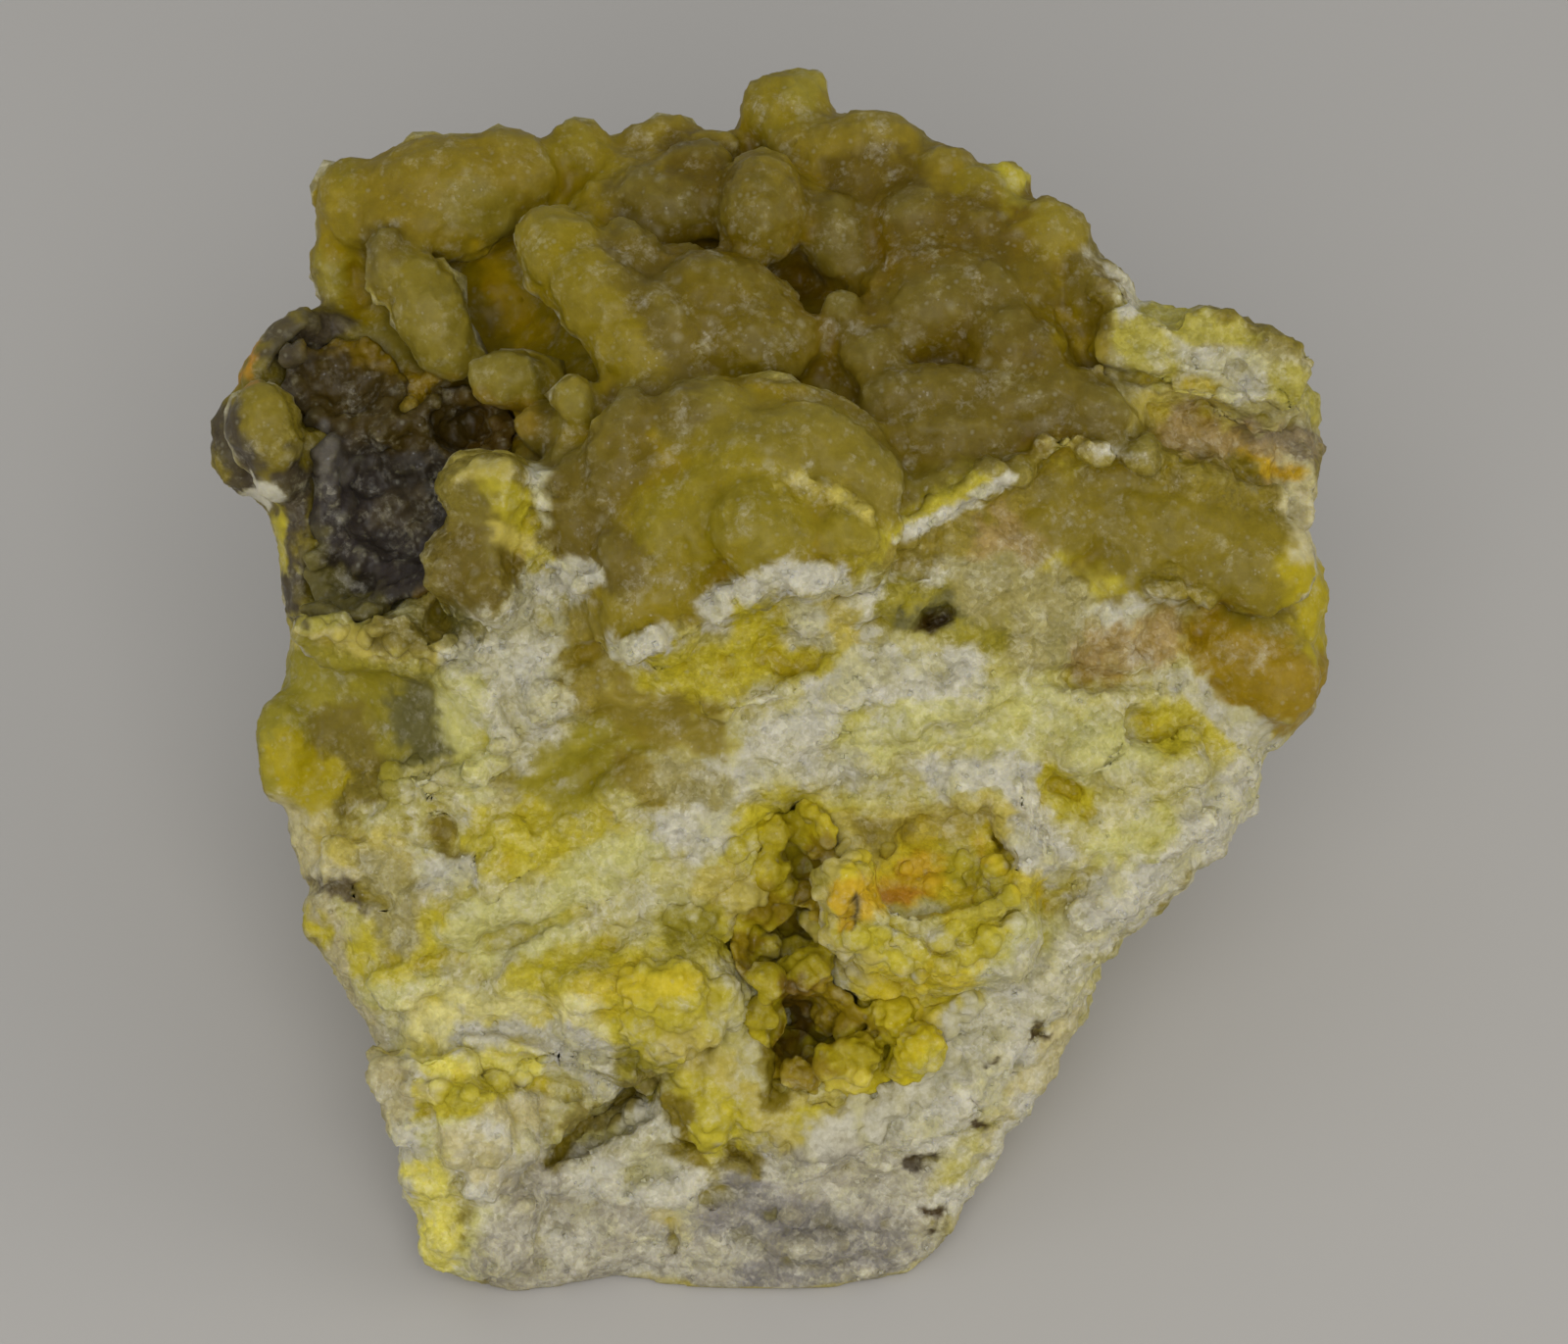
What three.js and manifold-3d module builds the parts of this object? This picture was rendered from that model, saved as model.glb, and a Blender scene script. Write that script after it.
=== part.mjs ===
// A hand-sized smithsonite specimen: a wedge of yellow, botryoidal and banded smithsonite with a little
// grey matrix at its toe. It stands on a flat break. Its display face slopes up and back, and the upper
// part of that face is a nearly level bed of lobes and fingers.
// Units are millimetres and degrees, +Z is up, and the display face looks towards -Y.
import * as THREE from "three";
import { ConvexGeometry } from "three/addons/geometries/ConvexGeometry.js";
import { mergeVertices } from "three/addons/utils/BufferGeometryUtils.js";
import Module from "manifold-3d";

const wasm = await Module();
wasm.setup();

// Driving dimensions of the block.
const faceSlope = 40; // the display face rises at this angle from the table
const faceRise = 36.4; // height of the face's datum above the table
const faceSetBack = 11; // distance of the face's datum behind the origin
const blockDepth = 90; // how far the rough block runs back from the face before it is broken to shape
const bodyFineness = 11; // subdivisions of the block's surface
const largeLobe = 3.6; // a lobe with a larger half size than this gets finer facets
const flatness = 0.75; // unevenness of the block smaller than this is let go
const blockSliver = 0.25; // the same, once the hollows are cut
const crustSliver = 0.25; // the same for a lining, well under its seat gap
const seatGap = 0.3; // clearance between a lining and the hollow it lines
const vugLining = 1.2; // thickness of the yellow crust in the vug
const hollowLining = 1.1; // thickness of the grey druse in the hollow
const botryoidCount = 5; // botryoids on the floor of each part of the vug
const crystalCount = 12; // crystals on the floor of each part of the hollow
const goldenAngle = Math.PI * (3 - Math.sqrt(5)); // spreads points evenly around a ball

// Display face coordinates are [across, up the slope, out of the face].
// This turns them into the part's own frame.
const faceFrame = new THREE.Matrix4()
  .makeTranslation(0, faceSetBack, faceRise)
  .multiply(new THREE.Matrix4().makeRotationX(THREE.MathUtils.degToRad(faceSlope)));

// The block's outline as the display face is looked at squarely, [across, up the slope].
const rim = [
  [46.4, -0.4], [46.2, 7.1], [44.9, 11.6], [45.7, 17.0], [45.3, 23.2], [44.1, 25.7], [41.3, 27.7],
  [36.2, 29.2], [31.6, 30.0], [27.5, 32.7], [25.2, 35.9], [21.5, 39.6], [16.6, 42.2], [11.7, 44.3],
  [6.7, 46.4], [2.5, 47.2], [-3.4, 46.1], [-9.3, 46.0], [-16.9, 45.4], [-23.6, 45.2], [-30.4, 44.5],
  [-35.7, 43.0], [-38.4, 40.5], [-39.2, 35.7], [-40.8, 31.0], [-44.5, 27.4], [-46.8, 23.4],
  [-46.5, 17.1], [-43.4, 11.7], [-42.7, 5.4], [-42.9, -0.4], [-44.4, -6.2], [-44.1, -10.4],
  [-42.7, -13.7], [-42.2, -19.5], [-39.6, -24.2], [-36.2, -30.2], [-33.1, -36.1], [-31.7, -42.0],
  [-31.2, -47.1], [-29.6, -56.0], [-16.7, -57.0], [-4.2, -57.5], [7.0, -57.0], [11.6, -54.0],
  [14.6, -47.1], [19.1, -40.4], [23.6, -32.0], [27.2, -24.8], [32.9, -18.8], [37.0, -14.5],
  [40.4, -10.8], [41.4, -7.0], [45.1, -3.8],
];

// Broad swells and dips of the face: where, how wide each way, and how far they rise.
const swells = [
  { at: [0, 16], size: [13, 9], rise: 2.5 }, // under the central dome
  { at: [-28.7, 38.5], size: [10, 6.5], rise: 2.5 }, // upper left mass
  { at: [-9.8, 40.5], size: [11, 5], rise: 1.8 }, // back shoulder
  { at: [13, 35.5], size: [12, 8], rise: 2.2 }, // right slope
  { at: [-24, 30], size: [6.5, 7], rise: -10 }, // bay behind the fingers
  { at: [4, 33], size: [5, 4], rise: -2.5 }, // pocket beside the ball
  { at: [11, 18.5], size: [6, 3.5], rise: -3 }, // valley behind the ridge
  { at: [-37, -5], size: [6, 6], rise: -2.5 }, // bowl in the left shoulder
  { at: [-16, -9], size: [9, 4], rise: -1.5 }, // trough between the bands
  { at: [20, -3], size: [12, 5], rise: 1.5 }, // pale middle band
  { at: [26, -14], size: [9, 5], rise: 1.5 }, // shoulder over the right edge
  { at: [-5, -47], size: [12, 4], rise: 1 }, // grey foot
];

// Lobes of the growth bed. Each is an ellipsoid seated on the face: where it is, its half sizes
// [across, up, out], its turn on the face, and how far its middle stands out of the face.
const rimLobes = [
  { at: [-35.2, 38.9], size: [5.1, 5.2, 4.8], turn: 0, lift: 0.3 },
  { at: [-38.8, 34.5], size: [2.3, 3.0, 2.8], turn: 0, lift: -2.2 },
  { at: [-29.7, 40.2], size: [5.7, 5.2, 4.8], turn: 0, lift: 1.8 },
  { at: [-23.4, 41.4], size: [4.7, 4.5, 4.4], turn: 0, lift: 1.8 },
  { at: [-17.6, 43.1], size: [3.9, 3.5, 3.6], turn: 0, lift: -0.2 },
  { at: [-13.0, 42.5], size: [4.3, 3.6, 3.6], turn: 0, lift: -0.2 },
  { at: [-9.1, 44.1], size: [4.3, 3.3, 3.6], turn: 0, lift: -1.2 },
  { at: [-5.4, 43.4], size: [3.0, 3.0, 3.1], turn: 0, lift: -1.2 },
  { at: [0.3, 46.9], size: [4.3, 3.8, 3.9], turn: 0, lift: 0.8 },
  { at: [-1.8, 48.2], size: [2.3, 2.0, 2.4], turn: 0, lift: 0.8 },
  { at: [2.0, 49.4], size: [2.5, 2.0, 2.4], turn: 0, lift: 0.8 },
  { at: [7.1, 43.9], size: [5.5, 4.0, 4.3], turn: -10, lift: 0.8 },
  { at: [11.6, 42.0], size: [4.7, 3.8, 3.9], turn: -20, lift: 0.3 },
  { at: [16.8, 39.8], size: [4.0, 3.4, 3.9], turn: 0, lift: -0.2 },
  { at: [19.1, 41.1], size: [2.5, 2.5, 2.6], turn: 0, lift: -1.2 },
  { at: [22.7, 35.9], size: [3.8, 3.8, 3.6], turn: 0, lift: -1.2 },
  { at: [25.1, 31.7], size: [4.2, 3.6, 3.6], turn: 0, lift: -1.2 },
];
const bedLobes = [
  { at: [-11.0, 39.2], size: [8.2, 4.9, 5.0], turn: 10, lift: 0.4 },
  { at: [-1.8, 39.1], size: [4.5, 5.2, 4.8], turn: 0, lift: 3.4 },
  { at: [4.1, 37.2], size: [3.9, 4.3, 4.0], turn: 0, lift: 0.9 },
  { at: [12.8, 38.3], size: [5.7, 4.0, 4.1], turn: 0, lift: 0.9 },
  { at: [19.8, 34.9], size: [4.6, 4.8, 4.6], turn: 0, lift: -0.6 },
  { at: [13.6, 31.7], size: [7.3, 4.8, 4.6], turn: -10, lift: -0.1 },
  { at: [20.0, 27.2], size: [5.0, 4.1, 3.8], turn: -20, lift: 0.4 },
  { at: [6.9, 27.0], size: [4.5, 3.6, 3.5], turn: -25, lift: 0.9 },
  { at: [8.2, 31.8], size: [3.8, 4.0, 3.5], turn: 0, lift: -1.1 },
  { at: [14.6, 20.7], size: [9.7, 4.4, 4.1], turn: 5, lift: 0.4 },
  { at: [24.0, 20.8], size: [5.9, 4.1, 3.8], turn: 0, lift: -0.1 },
];
const domeLobes = [
  { at: [0.0, 17.4], size: [10.1, 6.9, 5.4], turn: -15, lift: 2.6 },
  { at: [-8.1, 13.4], size: [8.5, 9.1, 5.0], turn: 0, lift: 2.1 },
  { at: [-11.3, 6.5], size: [5.4, 6.9, 4.2], turn: 0, lift: 1.6 },
  { at: [-1.4, 11.7], size: [4.5, 5.0, 3.7], turn: 0, lift: 4.6 },
  { at: [4.2, 11.3], size: [5.7, 4.9, 4.2], turn: 0, lift: 2.6 },
  { at: [-11.4, 20.9], size: [9.0, 4.3, 4.2], turn: 20, lift: 2.1 },
  { at: [-16.9, 13.5], size: [4.1, 7.7, 4.2], turn: 0, lift: 1.6 },
];
const edgeLobes = [
  { at: [40.4, 1.4], size: [4.4, 6.4, 3.8], turn: 0, lift: 1.5 },
  { at: [44.0, 7.1], size: [2.1, 4.3, 3.0], turn: 0, lift: 0 },
  { at: [-42.3, -6.6], size: [3.0, 5.1, 3.5], turn: 0, lift: 0 },
  { at: [-43.0, 27.2], size: [2.4, 5.0, 3.4], turn: -42, lift: 0 }, // outer wall of the grey hollow
];
// Lobes that stand free of the bed, or hang over the hollow.
const fingers = [
  { at: [-32.6, 34.9], size: [2.7, 3.2, 2.7], turn: 0, lift: 5 },
  { at: [-29.8, 30.8], size: [4.1, 3.0, 2.8], turn: -62, lift: 6.5 },
  { at: [-27.9, 27.0], size: [2.6, 2.8, 2.7], turn: 0, lift: 6.5 },
  { at: [-19.1, 36.0], size: [4.0, 3.5, 3.5], turn: -30, lift: 8 },
  { at: [-14.9, 31.8], size: [5.1, 3.8, 3.7], turn: -50, lift: 7.5 },
  { at: [-10.8, 27.3], size: [5.4, 4.1, 3.8], turn: -48, lift: 5.5 },
  { at: [-11.6, 33.1], size: [5.1, 3.0, 3.3], turn: -52, lift: 3 },
  { at: [-6.7, 31.9], size: [6.4, 3.8, 3.7], turn: -18, lift: 4 },
  { at: [-2.0, 29.2], size: [3.9, 3.8, 3.7], turn: 0, lift: 5 },
  { at: [-6.2, 27.4], size: [5.7, 3.6, 3.3], turn: -35, lift: 2.5 },
  { at: [-22.9, 24.6], size: [3.4, 2.7, 2.7], turn: -15, lift: 6 },
  { at: [-20.7, 24.2], size: [2.8, 2.5, 2.5], turn: 0, lift: 4 },
  { at: [-16.8, 22.3], size: [2.2, 2.3, 2.3], turn: 0, lift: 6.5 },
  { at: [-20.0, 20.7], size: [2.3, 2.3, 2.3], turn: 0, lift: 3 },
  { at: [-43.8, 21.0], size: [3.6, 3.5, 3.3], turn: 0, lift: 4 },
  { at: [-42.8, 17.0], size: [2.3, 3.0, 2.5], turn: 0, lift: 2 },
  { at: [-46.9, 19.3], size: [2.3, 4.5, 3.8], turn: 0, lift: -2 },
];
// Broken blocks and ledges, the same way, but with flat sides and worn corners.
const ledges = [
  { at: [-34.6, 2.5], size: [8.1, 3.1, 3.8], turn: -8, lift: 1.8 }, // lip of the left shoulder
  { at: [-26.7, -38.5], size: [6.9, 8.2, 5.6], turn: 0, lift: 0.3 }, // toe block
  { at: [-25.8, -46.6], size: [5.8, 5.8, 4.8], turn: 0, lift: -0.2 }, // its foot
  { at: [11.9, -19.6], size: [10.6, 7.3, 6.1], turn: -12, lift: 0.3 }, // orange ledge over the vug
  { at: [35.1, 25.5], size: [9.8, 4.5, 4.6], turn: -18, lift: -0.2 }, // pitted corner
  { at: [31.9, 11.5], size: [12.2, 7.0, 4.1], turn: -12, lift: -0.2 }, // olive bench
  { at: [-11.5, -27.5], size: [9.6, 5.7, 4.8], turn: 15, lift: 0.3 }, // yellow pad left of the vug
];
// Flakes torn up along the ridge between the growth bed and the broken front.
const flakes = [
  { at: [-16.3, 7.9], size: [2.6, 1.7, 2.2], turn: 20, lift: 1 },
  { at: [-11.3, 2.6], size: [2.4, 1.6, 1.8], turn: -25, lift: 1 },
  { at: [-3.3, 5.5], size: [3.4, 1.8, 2.4], turn: 12, lift: 2 },
  { at: [2.5, 7.9], size: [2.6, 1.6, 2.2], turn: 35, lift: 2 },
  { at: [4.1, 15.2], size: [2.7, 1.3, 2.2], turn: -20, lift: 4.5 },
  { at: [12.2, 15.8], size: [5.2, 1.3, 2.4], turn: 22, lift: 1.5 },
  { at: [18.5, 16.2], size: [3.2, 1.4, 2.2], turn: 30, lift: 1.5 },
  { at: [25.0, 18.3], size: [3.4, 1.5, 2.4], turn: -5, lift: 1.5 },
  { at: [30.2, 17.6], size: [2.2, 1.4, 2.0], turn: 25, lift: 1.5 },
  { at: [33.5, 7.2], size: [3.0, 1.2, 1.8], turn: -18, lift: 1.5 },
];
const pillar = [
  { at: [-24.3, 14.9], size: [4.5, 3.4, 5.5], turn: 0, lift: 6 },
  { at: [-24.6, 8.6], size: [4.6, 5.7, 5.5], turn: 0, lift: 2 },
];

// Hollows, as ellipsoids cut out of the face.
const greyHollow = [
  { at: [-37.4, 25.0], size: [6.2, 5.4, 5.8], turn: 0, lift: 2 },
  { at: [-32.8, 14.8], size: [9.2, 9.2, 10.0], turn: 0, lift: 2 },
  { at: [-27.1, 21.0], size: [4.9, 4.3, 10.8], turn: 0, lift: 2 },
  { at: [-36.9, 7.9], size: [5.4, 4.3, 7.5], turn: 0, lift: 2 },
];
const vug = [
  { at: [1.4, -15.6], size: [3.7, 4.9, 7.5], turn: 0, lift: 2 },
  { at: [0.0, -22.5], size: [5.1, 5.1, 10.8], turn: 0, lift: 2 },
  { at: [1.8, -30.2], size: [5.4, 4.9, 14.2], turn: 0, lift: 2 },
  { at: [8.0, -31.4], size: [5.2, 3.8, 9.0], turn: 10, lift: 1.5 },
];
const clefts = [
  { at: [-14.9, -38.5], size: [6.5, 2.2, 7.5], turn: 35, lift: 1 }, // crack beside the toe block
  { at: [13.4, -15.8], size: [7.7, 4.5, 4.2], turn: 20, lift: 3 }, // scoop in the orange ledge
];

// Flat breaks that bound the back and the underside: a point on each, and the way it faces.
const breaks = [
  { at: [0, 50, 60], facing: [0.12, 0.93, -0.34] }, // back
  { at: [30, 44, 40], facing: [0.6, 0.78, -0.18] }, // back right
  { at: [-34, 40, 45], facing: [-0.62, 0.76, -0.2] }, // back left
  { at: [46, 8, 33], facing: [0.85, 0.12, -0.5] }, // under the right edge
  { at: [-46, 6, 36], facing: [-0.83, 0.15, -0.53] }, // under the left edge
];

// A slow, repeatable unevenness between about -1 and 1.
function ripple(x, y, z) {
  const broad = Math.sin(x * 1.3 + 2.1 * Math.sin(y * 0.9 + 0.4)) * Math.cos(z * 1.1 + 0.7 * x);
  const fine = Math.sin(y * 2.7 + 1.7) * Math.sin(z * 2.3 - 0.6) * Math.cos(x * 2.9 + 0.3);
  return 0.65 * broad + 0.35 * fine;
}

// The lowest of several levels, rounded where they meet.
function smoothLowest(levels, rounding) {
  const sum = levels.reduce((total, level) => total + Math.exp(-level / rounding), 0);
  return -rounding * Math.log(sum);
}

// How far the face stands out at a place on it: a low roof of four slopes, with its swells.
function reliefAt(across, up) {
  const ridgeUp = 8 + 0.28 * across;
  const slopes = [
    19 - 0.6 * (up - ridgeUp), // growth bed, nearly level
    -3 + 0.36 * (up + 53), // broken front
    15 + 0.6 * (across + 22), // fall to the left
    15 - 0.5 * (across - 24), // fall to the right
  ];
  let level = smoothLowest(slopes, 2.5);
  for (const { at, size, rise } of swells) {
    const [x, y] = [(across - at[0]) / size[0], (up - at[1]) / size[1]];
    level += rise * Math.exp(-x * x - y * y);
  }
  return level + bandingAt(across, up, ridgeUp);
}

// Steps that the growth bands leave across the broken front, rising to the right.
function bandingAt(across, up, ridgeUp) {
  const bandWidth = 9;
  const bandSlope = 0.5;
  const onFront = 1 / (1 + Math.exp((up - ridgeUp + 8) / 2));
  const bend = 2 * Math.sin(across / 11);
  const phase = (2 * Math.PI * (up - bandSlope * across + bend)) / bandWidth;
  return 0.8 * onFront * (Math.sin(phase) + 0.4 * Math.sin(2 * phase + 1));
}

// Distance from the face's datum to the rim, for each direction on the face.
const rimPoints = new THREE.CatmullRomCurve3(rim.map(([x, y]) => new THREE.Vector3(x, y, 0)), true)
  .getPoints(600)
  .map((point) => ({ angle: Math.atan2(point.y, point.x), reach: Math.hypot(point.x, point.y) }))
  .sort((a, b) => a.angle - b.angle);

function rimReach(angle) {
  const after = rimPoints.findIndex((point) => point.angle >= angle);
  const next = rimPoints[Math.max(after, 0)];
  const last = rimPoints[(after <= 0 ? rimPoints.length : after) - 1];
  const step = next.angle - last.angle;
  const share = step > 0 ? (angle - last.angle) / step : 0;
  return last.reach + (next.reach - last.reach) * Math.min(Math.max(share, 0), 1);
}

// A closed geometry as a solid that can be joined and cut.
function solidOf(geometry) {
  geometry.deleteAttribute("normal");
  geometry.deleteAttribute("uv");
  const merged = mergeVertices(geometry, 1e-4);
  return new wasm.Manifold(
    new wasm.Mesh({
      numProp: 3,
      vertProperties: merged.attributes.position.array,
      triVerts: new Uint32Array(merged.index.array),
    }),
  );
}

function joined(solids) {
  return solids.reduce((whole, solid) => whole.add(solid));
}

// Moves each vertex of a geometry to where place(vertex) puts it.
function reshape(geometry, place) {
  const position = geometry.getAttribute("position");
  const vertex = new THREE.Vector3();
  for (let i = 0; i < position.count; i++) {
    place(vertex.fromBufferAttribute(position, i));
    position.setXYZ(i, vertex.x, vertex.y, vertex.z);
  }
  return geometry;
}

// The rough block: a sphere drawn out into the face, the walls behind its rim and a plain end.
function roughBlock() {
  const faceShare = 0.66; // share of the sphere that becomes the face
  const wallShare = 0.26; // share that becomes the walls
  const edgeBand = 0.1; // outer band of the face that rolls over into the walls
  const geometry = reshape(new THREE.IcosahedronGeometry(1, bodyFineness), (point) => {
    const share = (1 - point.z) / 2;
    const angle = Math.atan2(point.y, point.x);
    const reach = rimReach(angle);
    const uneven = ripple(point.x * 6, point.y * 6, point.z * 6);
    const roll = 2 + 4 * Math.max(0, -Math.sin(angle)) * Math.abs(Math.cos(angle));
    if (share <= faceShare) {
      const out = Math.sqrt(share / faceShare);
      const [x, y] = [out * reach * Math.cos(angle), out * reach * Math.sin(angle)];
      const overEdge = Math.max(0, (out - 1 + edgeBand) / edgeBand);
      point.set(x, y, reliefAt(x, y) + 0.4 * uneven - roll * overEdge ** 2);
      return;
    }
    const down = Math.min((share - faceShare) / wallShare, 1);
    const closing = Math.max(0, (share - faceShare - wallShare) / (1 - faceShare - wallShare));
    const wall = reach * (1 - 0.06 * down) + 0.8 * uneven * down;
    const inward = Math.sqrt(Math.max(0, 1 - closing));
    const [x, y] = [wall * Math.cos(angle), wall * Math.sin(angle)];
    const edge = reliefAt(reach * Math.cos(angle), reach * Math.sin(angle)) - roll;
    point.set(x * inward, y * inward, edge + (-blockDepth - edge) * down);
  });
  return solidOf(geometry.applyMatrix4(faceFrame));
}

// A lobe seated on the face, grown on every side by grow.
function lobe({ at, size, turn, lift }, grow = 0) {
  const fineness = Math.max(...size) > largeLobe ? 2 : 1;
  const geometry = reshape(new THREE.IcosahedronGeometry(1, fineness), (point) => {
    point.multiplyScalar(1 + 0.035 * ripple(point.x * 2 + at[0], point.y * 2 + at[1], point.z * 2));
  });
  return seated(geometry, at, size, turn, lift, grow);
}

// A broken block seated on the face: the hull of corners spread over a box with worn corners.
function ledge({ at, size, turn, lift }, grow = 0) {
  const squareness = 4;
  const cornerCount = 20;
  const corners = [];
  for (let i = 0; i < cornerCount; i++) {
    const z = 1 - (2 * (i + 0.5)) / cornerCount;
    const around = i * goldenAngle + 0.5 * Math.sin(at[0] * 3 + i * 2.3);
    const level = Math.sqrt(1 - z * z);
    const [x, y] = [level * Math.cos(around), level * Math.sin(around)];
    const span = Math.abs(x) ** squareness + Math.abs(y) ** squareness + Math.abs(z) ** squareness;
    const wear = 1 - 0.08 * (1 + Math.sin(at[1] * 5 + i * 1.9));
    corners.push(new THREE.Vector3(x, y, z).multiplyScalar(wear / span ** (1 / squareness)));
  }
  return seated(new ConvexGeometry(corners), at, size, turn, lift, grow);
}

function seated(geometry, [x, y], [across, up, out], turn, lift, grow) {
  geometry.scale(across + grow, up + grow, out + grow);
  geometry.rotateZ(THREE.MathUtils.degToRad(turn));
  geometry.translate(x, y, reliefAt(x, y) + lift);
  return solidOf(geometry.applyMatrix4(faceFrame));
}

// Everything on the far side of a flat break.
function beyond({ at, facing }) {
  const reach = 300;
  const geometry = new THREE.BoxGeometry(reach, reach, reach).translate(0, 0, reach / 2);
  const way = new THREE.Vector3(...facing).normalize();
  geometry.applyQuaternion(new THREE.Quaternion().setFromUnitVectors(new THREE.Vector3(0, 0, 1), way));
  return solidOf(geometry.translate(...at));
}

// The largest of a solid's separate pieces, without the crumbs and slivers that a cut leaves.
function largestPiece(solid, sliver) {
  const plain = solid.asOriginal().simplify(sliver);
  return plain.decompose().reduce((most, piece) => (piece.volume() > most.volume() ? piece : most));
}

// A crust that lines a hollow: the hollow's own shape less a smaller one, flush with the block's face.
function lining(hollow, whole, thickness, grains) {
  const outer = joined(hollow.map((part) => lobe(part, -seatGap)));
  const inner = joined(hollow.map((part) => lobe({ ...part, lift: part.lift + 0.5 }, -seatGap - thickness)));
  return outer.intersect(whole).subtract(inner).add(joined(grains).intersect(outer));
}

// Grains spread over the floor of each hollow, none of them inside a neighbouring hollow's space.
function grainsOver(hollow, thickness, count, grain) {
  const grains = [];
  hollow.forEach((part, index) => {
    const halves = new THREE.Vector3(...part.size).subScalar(seatGap + thickness);
    const middle = new THREE.Vector3(...part.at, reliefAt(...part.at) + part.lift);
    for (let i = 0; i < count; i++) {
      const z = -1 + (1.05 * (i + 0.5)) / count;
      const around = i * goldenAngle + index;
      const level = Math.sqrt(1 - z * z);
      const place = new THREE.Vector3(level * Math.cos(around), level * Math.sin(around), z);
      place.multiply(halves).add(middle);
      const free = hollow.every((other, k) => k === index || !within(place, other, thickness));
      if (free) grains.push(grain(place, i));
    }
  });
  return grains;
}

function within(place, { at, size, lift }, thickness) {
  const middle = new THREE.Vector3(...at, reliefAt(...at) + lift);
  const halves = new THREE.Vector3(...size).subScalar(thickness);
  return place.clone().sub(middle).divide(halves).length() < 1;
}

// A small round botryoid, and a small blocky crystal.
function botryoid(place, i) {
  const radius = 1.9 + 0.5 * Math.sin(i * 2.4);
  const geometry = new THREE.IcosahedronGeometry(radius, 1).translate(place.x, place.y, place.z);
  return solidOf(geometry.applyMatrix4(faceFrame));
}

function crystal(place, i) {
  const geometry = new THREE.OctahedronGeometry(1.4 + 0.4 * Math.sin(i * 3.1)).rotateX(i).rotateZ(i * 2);
  return solidOf(geometry.translate(place.x, place.y, place.z).applyMatrix4(faceFrame));
}

// The lobes and blocks that stand free of the bed or hang over the hollow, grown on every side by grow.
function standing(grow) {
  return joined([...fingers.map((part) => lobe(part, grow)), ...pillar.map((part) => ledge(part, grow))]);
}

function buildSolids() {
  const table = { at: [0, 0, 0], facing: [0, 0, -1] };
  const broken = breaks.reduce((rock, face) => rock.subtract(beyond(face)), roughBlock());
  const bed = [...rimLobes, ...bedLobes, ...domeLobes, ...edgeLobes].map((part) => lobe(part));
  const front = [...ledges, ...flakes].map((part) => ledge(part));
  const whole = joined([broken, ...bed, ...front]).asOriginal().simplify(flatness);
  const hollows = joined([...greyHollow, ...vug, ...clefts].map((part) => lobe(part)));
  const block = whole.subtract(hollows).add(standing(0)).subtract(beyond(table));
  const crystals = grainsOver(greyHollow, hollowLining, crystalCount, crystal);
  const druse = lining(greyHollow, whole, hollowLining, crystals).subtract(standing(seatGap));
  const botryoids = grainsOver(vug, vugLining, botryoidCount, botryoid);
  const crust = lining(vug, whole, vugLining, botryoids);
  return {
    smithsonite_block: largestPiece(block, blockSliver),
    hollow_druse: largestPiece(druse, crustSliver),
    vug_crust: largestPiece(crust, crustSliver),
  };
}

// Finishes, by mesh name.
const finishes = {
  smithsonite_block: new THREE.MeshStandardMaterial({ color: 0xa8a04a, roughness: 0.5, metalness: 0 }),
  hollow_druse: new THREE.MeshStandardMaterial({ color: 0x57514a, roughness: 0.6, metalness: 0 }),
  vug_crust: new THREE.MeshStandardMaterial({ color: 0xb3a32c, roughness: 0.45, metalness: 0 }),
};

function meshOf(name, solid) {
  const { vertProperties, triVerts, numProp } = solid.getMesh();
  const geometry = new THREE.BufferGeometry();
  const corners = new Float32Array(triVerts.length * 3);
  triVerts.forEach((vertex, i) => {
    const start = vertex * numProp;
    corners.set(vertProperties.subarray(start, start + 3), i * 3);
  });
  geometry.setAttribute("position", new THREE.BufferAttribute(corners, 3));
  geometry.computeVertexNormals();
  const mesh = new THREE.Mesh(geometry, finishes[name]);
  mesh.name = name;
  return mesh;
}

const specimen = new THREE.Group();
for (const [name, solid] of Object.entries(buildSolids())) specimen.add(meshOf(name, solid));

export default specimen;
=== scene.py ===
# Dresses the smithsonite specimen: waxy growth bed, sugary banded break, yellow vug and grey druse.
import math
import random
import bpy
import numpy as np
from mathutils import Euler, Matrix, Vector, noise
from mathutils.bvhtree import BVHTree


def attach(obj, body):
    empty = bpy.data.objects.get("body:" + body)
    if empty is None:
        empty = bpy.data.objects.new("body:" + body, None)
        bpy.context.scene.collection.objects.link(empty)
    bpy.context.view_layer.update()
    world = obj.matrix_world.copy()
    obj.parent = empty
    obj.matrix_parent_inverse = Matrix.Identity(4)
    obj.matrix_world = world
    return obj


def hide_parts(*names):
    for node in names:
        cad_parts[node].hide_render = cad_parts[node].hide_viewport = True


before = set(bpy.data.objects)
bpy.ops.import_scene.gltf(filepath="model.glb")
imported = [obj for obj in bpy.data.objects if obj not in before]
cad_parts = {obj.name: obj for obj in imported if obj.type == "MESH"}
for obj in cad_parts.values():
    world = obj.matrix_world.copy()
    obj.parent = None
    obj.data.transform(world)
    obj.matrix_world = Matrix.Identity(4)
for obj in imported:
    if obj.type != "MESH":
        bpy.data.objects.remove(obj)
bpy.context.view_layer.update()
mm = 0.001

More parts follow.
